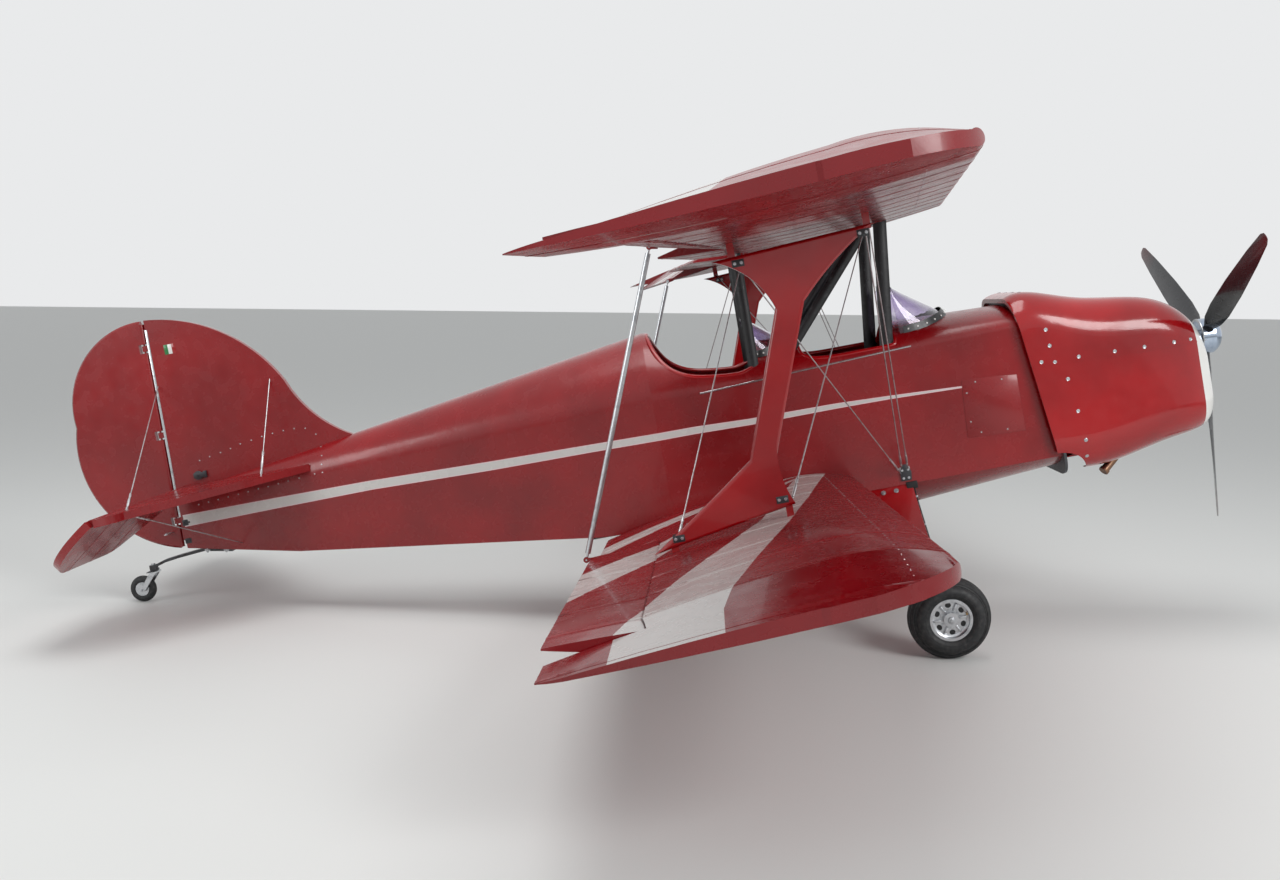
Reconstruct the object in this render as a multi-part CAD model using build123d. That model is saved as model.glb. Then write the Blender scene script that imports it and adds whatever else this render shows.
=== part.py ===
"""Two-seat ultralight biplane, parked on two main wheels and a steerable tail wheel.

Every piece is drawn in the level aircraft frame: X forward, Y to port, Z up, in
millimetres, with the datum on the centre plane under the main axle. Starboard is
minus Y. One last turn, worked out from the wheels, stands the aeroplane on the floor.
"""
from build123d import *
from math import asin, atan2, cos, degrees, hypot, radians, sin, sqrt, tan
import os

# Clearances and walls
FIT = 0.3
GAP = 7.0
PANEL = 12.0
SKIN = 8.0
WALL = 20.0

# Main wheels and gear
TRACK = 1500.0
AXLE_X, AXLE_Z = 36.0, 175.0
TYRE_R, TYRE_W = 179.0, 150.0
RIM_R, RIM_W = 92.0, 118.0
RIM_WALL, RIM_DISH, RIM_HUB_R = 12.0, 30.0, 32.0
AXLE_R = 14.0
AXLE_INNER = 110.0
LEG_T = 34.0
LEG_TOP = (-176.0, 38.0)
LEG_FOOT = (-40.0, 66.0)
LEG_IN, LEG_RISE, LEG_DROP = 6.0, 4.0, 8.0
SHOCK_R = 17.0
SHOCK_FOOT, SHOCK_TOP = (20.0, 42.0), (70.0, 620.0)

# Tail wheel
TAIL_X, TAIL_Z = -3787.0, 838.0
TAIL_TYRE_R, TAIL_TYRE_W = 66.0, 40.0
TAIL_HUB_R = 34.0
TAIL_AXLE_R = 6.0
FORK_PIVOT = (-3712.0, 915.0)
SPRING_W, SPRING_T = 42.0, 14.0
SPRING_SEAT_X = (-3290.0, -3430.0)
SPRING_BEND = ((-3560.0, 974.0), (-3640.0, 964.0))
FORK_POST_R, FORK_BOSS_H, FORK_CROWN_T = 10.0, 32.0, 8.0

# Fuselage
BAY_AFT = -1075.0
FIREWALL_TOP, FIREWALL_LEAN = (640.0, 1440.0), 7.7
BELLY_AFT, BELLY_DEEP_X, BELLY_FRONT = -1500.0, 90.0, 760.0
HALF_WIDTH = 318.0
FLOOR_Z = 712.0
TAIL_POST_X, TAIL_POST_HALF = -3512.0, 18.0

# Rows of the bay and the tail: x, half width, bottom z, shoulder z, crown z
BAY_STATIONS = (
    (BAY_AFT, HALF_WIDTH, FLOOR_Z, 1308.0, 1624.0),
    (-560.0, HALF_WIDTH, FLOOR_Z, 1316.0, 1486.0),
    (100.0, HALF_WIDTH, FLOOR_Z, 1326.0, 1456.0),
    (790.0, HALF_WIDTH, FLOOR_Z, 1336.0, 1430.0),
)
TAIL_STATIONS = (
    (TAIL_POST_X, TAIL_POST_HALF, 1000.0, 1215.0, 1272.0),
    (-2932.0, 89.0, 891.0, 1238.0, 1356.0),
    (-1430.0, 272.0, 716.0, 1296.0, 1573.0),
    BAY_STATIONS[0],
)

# Rows of the belly: x, half width, keel z
BELLY_STATIONS = (
    (BELLY_AFT, 262.0, 700.0),
    (BELLY_DEEP_X, HALF_WIDTH - 4.0, 577.0),
    (BELLY_FRONT, HALF_WIDTH - 4.0, 636.0),
)

# Rows of the cowl: x, half width, bottom z, top z, corner radius
COWL_HALF = HALF_WIDTH + 34.0
COWL_STATIONS = (
    (590.0, COWL_HALF, 600.0, 1452.0, 175.0),
    (900.0, COWL_HALF, 618.0, 1424.0, 175.0),
    (1180.0, COWL_HALF - 14.0, 662.0, 1368.0, 170.0),
    (1370.0, 300.0, 692.0, 1290.0, 150.0),
    (1458.0, 250.0, 716.0, 1196.0, 130.0),
    (1494.0, 196.0, 768.0, 1112.0, 105.0),
)
COWL_LIP = 26.0
NOSE_RING_X = 1428.0
# Air inlets in the nose ring: y, z, width, height; the outlet below: x, length, width
INLETS = ((-128.0, 985.0, 96.0, 74.0), (128.0, 985.0, 96.0, 74.0), (0.0, 842.0, 230.0, 84.0))
OUTLET = (930.0, 210.0, 330.0)

# Cockpit edges in the side view, from aft: start, middle and end of the scoop, low point, front
SILL_Z = 1354.0
REAR_EDGE = ((-1061.0, 1618.0), (-986.0, 1448.0), (-800.0, 1370.0), (-640.0, SILL_Z), (-556.0, 1388.0))
FRONT_EDGE = ((-363.0, 1398.0), (-308.0, 1363.0), (-213.0, SILL_Z), (78.0, SILL_Z))
EDGE_LEAN = 24.0
CUT_TOP = 1700.0
PANEL_X = (128.0, -500.0)
PANEL_Z, PANEL_H = 1300.0, 320.0
SEAT_X = (-215.0, -860.0)
SEAT_W, SEAT_DEPTH, SEAT_H, SEAT_BACK_H = 430.0, 400.0, 230.0, 430.0
SEAT_BACK_T, SEAT_LEAN, SEAT_ROUND = 70.0, 8.0, 40.0

# Windscreens: x of the edge and of the middle at SCREEN_LOW, the same at the top, top z
SCREEN_LOW = 1330.0
SCREENS = (
    ("front", 115.0, 537.0, 96.0, 106.0, 1630.0),
    ("rear", -538.0, -240.0, -600.0, -590.0, 1612.0),
)
SCREEN_T = 4.0
SCREEN_IN, SCREEN_TAPER = 36.0, 12.0
SCREEN_HALF = HALF_WIDTH - WALL - SCREEN_IN
SCREEN_TOP_HALF = SCREEN_HALF - SCREEN_TAPER
SCREEN_CORNER_R = 70.0

# Propeller
THRUST_DOWN = 4.0
PROP_X, PROP_Z = 1562.0, 1105.0
PROP_R, HUB_R = 875.0, 46.0
SPINNER_R, SPINNER_BASE, SPINNER_L = 84.0, 62.0, 44.0
BLADE_COUNT = 3
SHANK_R = 24.0
HUB_H = 2 * SHANK_R + 4.0
HUB_FLAT = 9.0
# Rows of a blade: radius, chord, thickness, pitch from the disc plane
BLADE_STATIONS = (
    (SPINNER_R - 2.0, 46.0, 30.0, 58.0),
    (150.0, 84.0, 26.0, 50.0),
    (250.0, 102.0, 21.0, 40.0),
    (450.0, 104.0, 15.0, 27.0),
    (700.0, 84.0, 10.0, 18.0),
    (PROP_R - 25.0, 58.0, 7.0, 14.0),
    (PROP_R, 34.0, 4.0, 13.0),
)
BLADE_CAMBER = 0.7

# Engine block and exhaust
ENGINE = (560.0, 430.0, 340.0)
ENGINE_AT = (1010.0, 0.0, 985.0)
ENGINE_MOUNT = (140.0, 300.0, 240.0)
SHAFT_R = 32.0
EXHAUST_R = 20.0
EXHAUST_AT = (1040.0, -120.0)
EXHAUST_TOP = ENGINE_AT[2] - ENGINE[2] / 2 + 10.0
EXHAUST_BEND_Z = 640.0
EXHAUST_END = (955.0, -150.0, 575.0)

# Wings: the rib, in parts of the chord: via point and end point of each arc
CHORD = 1190.0
INCIDENCE = 2.8
RIB_START = (0.020, -0.022)
RIB_ARCS = (
    ((0.000, 0.004), (0.026, 0.038)),
    ((0.130, 0.070), (0.320, 0.079)),
    ((0.680, 0.052), (0.997, 0.003)),
)
RIB_END = (0.997, -0.003)
RIB_UNDER = (0.480, -0.036)
TIP_THICKNESS = 0.34
HINGE_AT = (0.770, 0.0072)
HINGE_NOSE = 0.0345
HINGE_PIN_R, HINGE_PIN_L = 5.0, 20.0

# Upper wing
UPPER_SPAN = 6480.0
UPPER_X, UPPER_Z = 456.0, 1978.0
SWEEP = 8.9
CENTRE_HALF = 430.0
CUT_DEPTH, CUT_HALF = 150.0, 240.0
TIP_LENGTH = 330.0

# Lower wing
LOWER_SPAN = 6100.0
LOWER_X, LOWER_Z = -215.0, 760.0
LOWER_ROOT_Y = HALF_WIDTH
DIHEDRAL = 2.4

# Ailerons
AILERON_FROM_TIP = 220.0
AILERON_Y = (1150.0, LOWER_SPAN / 2 - AILERON_FROM_TIP)
AILERON_REST = 10.0
SLAVE_Y = 1190.0
SLAVE_R = 11.0
SLAVE_BACK = 1.012
SLAVE_STEPS = (10.0, 15.0)
SLAVE_PIN_R, SLAVE_SLACK = 3.2, 2.3
SLAVE_NECK, SLAVE_NECK_R = 26.0, 5.0
LUG_REACH = 34.0
EYE_R = 9.0
LUG_T = 6.0

# Interplane struts: side view, at their own y
STRUT_Y, STRUT_T = 1620.0, 34.0
STRUT_TOP = (-716.0, -118.0)
STRUT_FOOT = (-1112.0, -570.0)
STRUT_WAIST_TOP = (-516.0, -411.0, 1650.0)
STRUT_WAIST_FOOT = (-706.0, -606.0, 1120.0)
STRUT_GAP = 42.0
# Middles of the flares, from the ends of the waist: front top, front foot, aft foot, aft top
STRUT_FLARES = ((96.0, 92.0), (2.0, -68.0), (-128.0, -92.0), (-44.0, 86.0))
STRUT_ROUND = 12.0
FOOT_LUG_W = 26.0
FOOT_IN_AFT, FOOT_IN_FRONT = 78.0, 26.0

# Cabane struts, inside the cockpit walls: foot x, foot z, head x, chord of the strut
CABANE_T = 22.0
CABANE_Y = HALF_WIDTH - WALL - CABANE_T / 2 - FIT
CABANE = (
    ("front", 18.0, 1200.0, 104.0, 62.0),
    ("diagonal", -520.0, 1290.0, 76.0, 46.0),
    ("rear", -586.0, 1200.0, -574.0, 50.0),
)

PANEL_HALF = CABANE_Y - CABANE_T / 2 - 4.0

# Wires and the plate on the fuselage where they start
WIRE_R = 2.6
WIRE_PLATE_AT, WIRE_PLATE = (16.0, 764.0), (46.0, 6.0, 60.0)

# Tail surfaces
FIN_T = 34.0
RUDDER_HINGE = ((-3548.0, 1006.0), (-3500.0, 2148.0))
# Leading edge of the fin from its head, and the trailing edge of the rudder, as arcs
FIN_EDGE = ((-3070.0, 1992.0), (-2851.0, 1730.0), (-2752.0, 1555.0), (-2560.0, 1400.0))
FIN_FOOT_Z = 1040.0
RUDDER_EDGE = ((-3815.0, 2020.0), (-3934.0, 1690.0), (-3868.0, 1230.0))
RUDDER_BEVEL = 9.0
HINGE_LUGS = (0.12, 0.50, 0.88)
NOTCH_H, LUG_H = 44.0, 28.0
STAB_Z = 1290.0
STAB_T = 34.0
STAB_ROOT_LE = -2790.0
STAB_HINGE_X = -3466.0
STAB_TIP_Y = 1060.0
STAB_SHOULDER = (-3360.0, 940.0)
ELEVATOR_CHORD = 318.0
TORQUE_R = 9.0
ELEVATOR_ROOT_Y = 36.0
ELEVATOR_INNER_Y = 350.0
ELEVATOR_DROOP = 36.0

# Tail wires: the end in the fin or the tail, the end in the stabiliser
TAIL_WIRES = (
    ((-2918.0, 0.0, 1772.0), (-2962.0, -330.0, STAB_Z)),
    ((-3478.0, 0.0, 1827.0), (-3372.0, -900.0, STAB_Z)),
    ((-3209.0, 0.0, 960.0), (-3372.0, -880.0, STAB_Z)),
)

# Tie-down lugs
TIE_BORE_R, TIE_LUG_R, TIE_LUG_T = 8.0, 17.0, 8.0
TIE_X = -560.0
TIE_DROP = 24.0

# The parked attitude follows from the wheels
_reach = hypot(AXLE_X - TAIL_X, TAIL_Z - AXLE_Z)
PITCH = degrees(atan2(TAIL_Z - AXLE_Z, AXLE_X - TAIL_X) + asin((TYRE_R - TAIL_TYRE_R) / _reach))

SIDES = (("right", -1), ("left", 1))


def side_face(points, y=0.0):
    """Face in the side view from a list of (x, z) corners."""
    return make_face(Polyline([(x, y, z) for x, z in points], close=True))


def side_prism(points, half):
    """Solid with a side-view outline, half as wide each way."""
    return extrude(side_face(points, -half), dir=(0, 1, 0), amount=2 * half)


def plan_prism(points, low, high):
    """Solid with a plan-view outline of (x, y) corners between two heights."""
    face = make_face(Polyline([(x, y, low) for x, y in points], close=True))
    return extrude(face, dir=(0, 0, 1), amount=high - low)


def rod(start, end, radius):
    """Round bar between two points."""
    start, end = Vector(start), Vector(end)
    run = end - start
    return Solid.make_cylinder(radius, run.length, Plane(origin=start, z_dir=run))


def lens(plane, chord, thick, share=0.5):
    """Pointed section of two arcs on a plane, with a share of its thickness above the chord."""
    half = chord / 2
    over = ThreePointArc((-half, 0), (0, thick * share), (half, 0))
    under = ThreePointArc((half, 0), (0, thick * (share - 1)), (-half, 0))
    return plane * make_face([over, under])


def fairing_rod(start, end, chord, thick):
    """Streamlined bar between two points, its chord along X."""
    start, end = Vector(*start), Vector(*end)
    run = end - start
    across = run.cross(Vector(1, 0, 0)).cross(run)
    section = lens(Plane(origin=start, x_dir=across, z_dir=run), chord, thick)
    return extrude(section, dir=run.normalized(), amount=run.length)


def body_section(x, half, bottom, shoulder, crown):
    """Flat-sided section with an elliptical deck."""
    plane = Plane(origin=(x, 0, 0), x_dir=(0, 1, 0), z_dir=(1, 0, 0))
    deck = EllipticalCenterArc((0, shoulder), half, crown - shoulder, start_angle=0, arc_size=180)
    sides = Polyline([(-half, shoulder), (-half, bottom), (half, bottom), (half, shoulder)])
    return plane * make_face([deck, sides])


def body_loft(stations, inset=0.0, floor=0.0):
    """Fuselage solid through a table of stations, drawn in by the inset."""
    faces = []
    for x, half, bottom, shoulder, crown in stations:
        faces.append(body_section(x, half - inset, bottom + floor, shoulder, crown - inset))
    return loft(faces, ruled=True)


def firewall_prism(start, end):
    """Slab between two distances along X from the leaning firewall plane."""
    top_x, top_z = FIREWALL_TOP
    lean = tan(radians(FIREWALL_LEAN))
    low, high = 300.0, 1800.0
    corners = [(top_x + start + lean * (top_z - z), z) for z in (low, high)]
    corners += [(top_x + end + lean * (top_z - z), z) for z in (high, low)]
    return side_prism(corners, 600)


def edge_cut(edge):
    """Opening across the whole width above one cockpit's edge."""
    start, via, end = edge[:3]
    (aft, _), (front, front_z) = edge[0], edge[-1]
    corners = [end, *edge[3:], (front + EDGE_LEAN, CUT_TOP), (aft, CUT_TOP), start]
    curve = ThreePointArc(*[(x, 0, z) for x, z in (start, via, end)])
    rest = Polyline([(x, 0, z) for x, z in corners])
    return extrude(make_face([curve, rest]), dir=(0, 1, 0), amount=2 * HALF_WIDTH, both=True)


def shoulder_prism():
    """Everything above the line of the upper longerons."""
    first, last = BAY_STATIONS[0], BAY_STATIONS[-1]
    slope = (last[3] - first[3]) / (last[0] - first[0])
    reach = 40.0
    low = (first[0] - reach, first[3] - reach * slope)
    high = (last[0] + reach, last[3] + reach * slope)
    return side_prism([low, high, (high[0], 1900.0), (low[0], 1900.0)], 600)


def make_fuselage():
    """Cockpit sides and floor, top deck, panels, tail section and belly."""
    parts = {}
    outer = body_loft(BAY_STATIONS) - firewall_prism(0, 900)
    cavity = body_loft(BAY_STATIONS, WALL, WALL) - firewall_prism(-1, 900)
    rear_cut, front_cut = edge_cut(REAR_EDGE), edge_cut(FRONT_EDGE)
    shell = outer - cavity - rear_cut - front_cut
    above = shoulder_prism()
    parts["top_deck"] = shell & above
    parts["cockpit_sides"] = shell - above
    for name, x in zip(("front", "rear"), PANEL_X):
        slab = Pos(x, 0, PANEL_Z) * Box(PANEL, 2 * PANEL_HALF, PANEL_H)
        parts[f"{name}_panel"] = (cavity & slab) - rear_cut - front_cut
    parts["tail_section"] = body_loft(TAIL_STATIONS)
    faces = []
    for x, half, keel in BELLY_STATIONS:
        arc = ThreePointArc((x, -half, FLOOR_Z), (x, 0, keel), (x, half, FLOOR_Z))
        faces.append(make_face([arc, Line((x, half, FLOOR_Z), (x, -half, FLOOR_Z))]))
    belly = loft(faces, ruled=True) - firewall_prism(0, 900)
    parts["belly"] = belly - parts["tail_section"]
    return parts, outer, cavity


def cowl_section(x, half, bottom, top, radius, inset):
    """Rounded section of the cowl, drawn in by the inset."""
    plane = Plane(origin=(x, 0, (bottom + top) / 2), x_dir=(0, 1, 0), z_dir=(1, 0, 0))
    width, height = 2 * (half - inset), top - bottom - 2 * inset
    return plane * RectangleRounded(width, height, radius - inset)


def make_cowl(outer_body):
    """Cowl shell with its nose ring, firewall, engine block and exhaust."""
    outer = loft([cowl_section(*row, 0.0) for row in COWL_STATIONS])
    inner = loft([cowl_section(*row, SKIN) for row in COWL_STATIONS[:-1]])
    rear = firewall_prism(-900, -COWL_LIP)
    nose = Pos(NOSE_RING_X + 500, 0, 1000) * Box(1000, 1000, 2000)
    inlets = [Pos(COWL_STATIONS[-1][0], y, z) * Box(200, wide, high) for y, z, wide, high in INLETS]
    outlet = Pos(OUTLET[0], 0, COWL_STATIONS[0][2]) * Box(OUTLET[1], OUTLET[2], 120)
    bore = Pos(PROP_X, 0, PROP_Z) * Rot(0, THRUST_DOWN, 0) * Rot(0, 90, 0) * Cylinder(SHAFT_R + 12, 400)
    shell = outer - inner - rear - bore
    parts = {}
    parts["engine_cowl"] = shell - nose - outlet
    ring = shell & nose
    for tool in inlets:
        ring -= tool
    parts["nose_ring"] = ring
    parts["firewall"] = inner & firewall_prism(0, PANEL)
    block = Pos(*ENGINE_AT) * Box(*ENGINE)
    axis = Location((PROP_X, 0, PROP_Z)) * Rot(0, THRUST_DOWN, 0) * Rot(0, 90, 0)
    shaft_l = PROP_X - ENGINE_AT[0]
    shaft = axis * Pos(0, 0, -SPINNER_BASE / 2 - FIT - shaft_l / 2) * Cylinder(SHAFT_R, shaft_l)
    mount = Pos(ENGINE_AT[0] - ENGINE[0] / 2, 0, ENGINE_AT[2]) * Box(*ENGINE_MOUNT)
    parts["engine_block"] = block + shaft + mount - firewall_prism(-900, PANEL)
    bend = FilletPolyline([EXHAUST_AT + (EXHAUST_TOP,), EXHAUST_AT + (EXHAUST_BEND_Z,), EXHAUST_END],
                          radius=3 * EXHAUST_R)
    start = Plane(origin=EXHAUST_AT + (EXHAUST_TOP,), z_dir=(0, 0, -1))
    pipe = sweep(start * Circle(EXHAUST_R), path=bend)
    parts["exhaust_pipe"] = pipe - parts["engine_block"]
    parts["engine_cowl"] -= sweep(start * Circle(EXHAUST_R + GAP), path=bend)
    return parts


def make_propeller():
    """Spinner and a three-blade propeller, drawn along Z and turned to the shaft."""
    parts = {}
    low, top = -SPINNER_BASE / 2, SPINNER_BASE / 2
    tip = top + SPINNER_L
    outline = make_face([
        Line((0, 0, low), (SPINNER_R, 0, low)),
        Line((SPINNER_R, 0, low), (SPINNER_R, 0, top)),
        ThreePointArc((SPINNER_R, 0, top), (SPINNER_R * 0.66, 0, top + SPINNER_L * 0.74),
                      (HUB_FLAT, 0, tip)),
        Line((HUB_FLAT, 0, tip), (0, 0, tip)),
        Line((0, 0, tip), (0, 0, low)),
    ])
    spinner = revolve(outline, Axis.Z)
    blades = Cylinder(HUB_R, HUB_H)
    faces = []
    for radius, chord, thick, pitch in BLADE_STATIONS:
        plane = Plane(origin=(0, 0, radius), x_dir=(-sin(radians(pitch)), cos(radians(pitch)), 0),
                      z_dir=(0, 0, 1))
        faces.append(lens(plane, chord, thick, BLADE_CAMBER))
    blade = loft(faces, ruled=True)
    shank = Pos(0, 0, SPINNER_R / 2) * Cylinder(SHANK_R, SPINNER_R)
    socket = Pos(0, 0, SPINNER_R / 2 + 20) * Cylinder(SHANK_R + FIT, SPINNER_R + 40)
    spinner -= Cylinder(HUB_R + FIT, HUB_H + 2 * FIT)
    for index in range(BLADE_COUNT):
        turn = Rot(0, 0, 360.0 * index / BLADE_COUNT) * Rot(0, 90, 0)
        blades += turn * shank
        blades += turn * blade
        spinner -= turn * socket
    place = Location((PROP_X, 0, PROP_Z)) * Rot(0, THRUST_DOWN, 0) * Rot(0, 90, 0)
    parts["propeller"] = place * blades
    parts["spinner"] = place * spinner
    return parts


def rib_point(le, chord, across, up):
    """Point of a rib at parts of the chord behind and above its leading edge."""
    tilt = radians(INCIDENCE)
    x = le[0] - chord * (across * cos(tilt) + up * sin(tilt))
    z = le[2] + chord * (up * cos(tilt) - across * sin(tilt))
    return (x, le[1], z)


def rib(le, chord, flat=1.0):
    """Wing section in an upright fore-and-aft plane, made thinner by flat."""
    def at(pair):
        return rib_point(le, chord, pair[0], pair[1] * flat)
    edges = []
    start = RIB_START
    for via, end in RIB_ARCS:
        edges.append(ThreePointArc(at(start), at(via), at(end)))
        start = end
    edges.append(Line(at(start), at(RIB_END)))
    edges.append(ThreePointArc(at(RIB_END), at(RIB_UNDER), at(RIB_START)))
    return make_face(edges)


def upper_le(y):
    """Leading edge of the upper wing at a distance y to the right."""
    return (UPPER_X - y * tan(radians(SWEEP)), -y, UPPER_Z)


def lower_le(y):
    """Leading edge of the lower wing at a distance y to the right."""
    return (LOWER_X, -y, LOWER_Z + (y - LOWER_ROOT_Y) * tan(radians(DIHEDRAL)))


def tip_outline(le_of, half_span, root_y):
    """Plan view of a right wing, with a round tip and a raked rear corner."""
    lead, trail = 0.30 * CHORD, 0.16 * CHORD
    reach = 60.0
    shoulder = le_of(half_span - lead)
    end = le_of(half_span)
    nose = (end[0] - lead * 1.15, -half_span)
    rear_x = le_of(half_span - trail)[0] - CHORD - reach
    corner = (end[0] - CHORD * 0.9, -half_span)
    root = le_of(root_y)
    arc_via = (shoulder[0] - lead * 0.30, -(half_span - lead * 0.20))
    rear_via = (corner[0] - trail * 0.62, -(half_span - trail * 0.16))
    last = (rear_x, -(half_span - trail))
    outline = [
        Line((root[0] + reach, -root_y, 0), (shoulder[0] + reach, shoulder[1], 0)),
        Line((shoulder[0] + reach, shoulder[1], 0), (shoulder[0] + 8, shoulder[1], 0)),
        ThreePointArc((shoulder[0] + 8, shoulder[1], 0), arc_via + (0,), nose + (0,)),
        Line(nose + (0,), corner + (0,)),
        ThreePointArc(corner + (0,), rear_via + (0,), last + (0,)),
        Line(last + (0,), (root[0] - CHORD - 2 * reach, -root_y, 0)),
        Line((root[0] - CHORD - 2 * reach, -root_y, 0), (root[0] + reach, -root_y, 0)),
    ]
    return extrude(make_face(outline), dir=(0, 0, 1), amount=3000)


def wing_panel(le_of, root_y, half_span):
    """Right wing from its root rib to its thin tip bow."""
    shoulder = half_span - TIP_LENGTH
    main = loft([rib(le_of(root_y), CHORD), rib(le_of(shoulder), CHORD)], ruled=True)
    thin = rib(le_of(half_span + 5), CHORD, TIP_THICKNESS)
    tip = loft([rib(le_of(shoulder), CHORD), thin], ruled=True)
    return (main + tip) & tip_outline(le_of, half_span, root_y)


def hinge_line(le_of):
    """Ends of the aileron hinge on the right wing."""
    ends = []
    for y in AILERON_Y:
        ends.append(Vector(*rib_point(le_of(y), CHORD, *HINGE_AT)))
    return ends


def split_aileron(wing, le_of):
    """Cut an aileron out of a right wing and give it a round nose and end pins."""
    inner, outer = hinge_line(le_of)
    run = (outer - inner).normalized()
    nose = CHORD * HINGE_NOSE
    far = 700.0

    def zone(start, end, ahead):
        corners = [(p.X + ahead, p.Y) for p in (start, end)]
        corners += [(end.X - far, end.Y), (start.X - far, start.Y)]
        return plan_prism(corners, inner.Z - 300, inner.Z + 400)
    start, end = inner + run * GAP, outer - run * GAP
    keep_out = zone(inner, outer, 0) + rod(tuple(inner), tuple(outer), nose + GAP)
    aileron = (wing & zone(start, end, 0)) + (wing & rod(tuple(start), tuple(end), nose))
    pins = [rod(tuple(start + run * 10), tuple(start - run * HINGE_PIN_L), HINGE_PIN_R),
            rod(tuple(end - run * 10), tuple(end + run * HINGE_PIN_L), HINGE_PIN_R)]
    for pin in pins:
        aileron += pin
    holes = rod(tuple(inner - run * (HINGE_PIN_L + 4)), tuple(outer + run * (HINGE_PIN_L + 4)),
                HINGE_PIN_R + FIT)
    return wing - keep_out - holes, aileron


def slave_ends():
    """Eyes of the right slave strut, just behind the trailing edges of the ailerons."""
    low = Vector(*rib_point(lower_le(SLAVE_Y), CHORD, SLAVE_BACK, 0.0))
    high = Vector(*rib_point(upper_le(SLAVE_Y), CHORD, SLAVE_BACK, 0.0))
    return low, high


def mirror_y(shape):
    """The same shape on the other side of the centre plane."""
    return mirror(shape, about=Plane.XZ)


def eye_lug(at):
    """Small round lug round an eye, with a web forward into the trailing edge."""
    disc = Pos(*at) * Rot(90, 0, 0) * Cylinder(EYE_R + LUG_T / 2, LUG_T)
    web = Pos(at.X + LUG_REACH / 2, at.Y, at.Z) * Box(LUG_REACH, LUG_T, 2 * EYE_R)
    return disc + web


def make_slave(low_eye, high_eye):
    """Right slave strut beside the two lugs, with a cross pin at each end."""
    steps = [Vector(0, step, 0) for step in SLAVE_STEPS]
    ends = [low_eye + steps[0], high_eye + steps[1]]
    run = (ends[1] - ends[0]).normalized()
    strut = rod(ends[0] + run * SLAVE_NECK, ends[1] - run * SLAVE_NECK, SLAVE_R)
    over = Vector(0, LUG_T, 0)
    for end, sense, step in ((ends[0], 1, steps[0]), (ends[1], -1, steps[1])):
        strut += Pos(*end) * Rot(90, 0, 0) * Cylinder(EYE_R, LUG_T)
        strut += rod(end + run * sense * EYE_R * 0.5, end + run * sense * SLAVE_NECK * 1.2, SLAVE_NECK_R)
        strut += rod(end - step - over, end, SLAVE_PIN_R)
    return strut


def make_wings():
    """Upper and lower wings with their ailerons, slave struts and tie-down lugs."""
    parts = {}
    upper, up_aileron = split_aileron(wing_panel(upper_le, CENTRE_HALF, UPPER_SPAN / 2), upper_le)
    lower, low_aileron = split_aileron(wing_panel(lower_le, LOWER_ROOT_Y, LOWER_SPAN / 2), lower_le)
    low_eye, high_eye = slave_ends()
    low_aileron += eye_lug(low_eye)
    up_aileron += eye_lug(high_eye)
    across = Vector(0, 2 * LUG_T, 0)
    low_aileron -= rod(low_eye - across, low_eye + across, SLAVE_PIN_R + FIT)
    up_aileron -= rod(high_eye - across, high_eye + across, SLAVE_PIN_R + SLAVE_SLACK)
    for name, shape in (("upper", up_aileron), ("lower", low_aileron)):
        parts[f"{name}_aileron"] = shape
    parts["upper_wing"], parts["lower_wing"] = upper, lower
    parts["slave_strut"] = make_slave(low_eye, high_eye)
    return parts


def make_centre():
    """Centre section of the upper wing with its trailing-edge cut-out."""
    root = upper_le(CENTRE_HALF)
    middle = rib((UPPER_X, 0, UPPER_Z), CHORD)
    half = loft([middle, rib(root, CHORD)], ruled=True)
    edge = UPPER_X - CHORD
    cut = Pos(edge, 0, UPPER_Z) * Box(2 * CUT_DEPTH, 2 * CUT_HALF, 400)
    scoop = Pos(edge + CUT_DEPTH, 0, UPPER_Z) * scale(Cylinder(CUT_HALF, 400), (0.35, 1, 1))
    return half + mirror_y(half) - cut - scoop


def strut_outline(upper, lower):
    """Side view of an interplane strut: flared head, slim waist, flared foot."""
    head_z = [under_z(upper, x, 1) for x in STRUT_TOP]
    foot_z = [under_z(lower, x, -1) for x in STRUT_FOOT]
    ta, tf, tz = STRUT_WAIST_TOP
    fa, ff, fz = STRUT_WAIST_FOOT
    y = -STRUT_Y
    front_high, front_low, aft_low, aft_high = STRUT_FLARES
    aft_top, front_top = (STRUT_TOP[0], y, head_z[0]), (STRUT_TOP[1], y, head_z[1])
    aft_foot, front_foot = (STRUT_FOOT[0], y, foot_z[0]), (STRUT_FOOT[1], y, foot_z[1])
    return make_face([
        Line(aft_top, front_top),
        ThreePointArc(front_top, (tf + front_high[0], y, tz + front_high[1]), (tf, y, tz)),
        Line((tf, y, tz), (ff, y, fz)),
        ThreePointArc((ff, y, fz), (ff + front_low[0], y, fz + front_low[1]), front_foot),
        Line(front_foot, aft_foot),
        ThreePointArc(aft_foot, (fa + aft_low[0], y, fz + aft_low[1]), (fa, y, fz)),
        Line((fa, y, fz), (ta, y, tz)),
        ThreePointArc((ta, y, tz), (ta + aft_high[0], y, tz + aft_high[1]), aft_top),
    ])


def under_z(le_of, x, side):
    """Height of the strut's end at x, one gap away from the wing's surface."""
    le = le_of(STRUT_Y)
    part = (le[0] - x) / CHORD
    height = -0.034 if side > 0 else (0.079 - 0.20 * max(part - 0.32, 0) ** 1.5)
    point = rib_point(le, CHORD, part, height)
    return point[2] - side * STRUT_GAP


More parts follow.
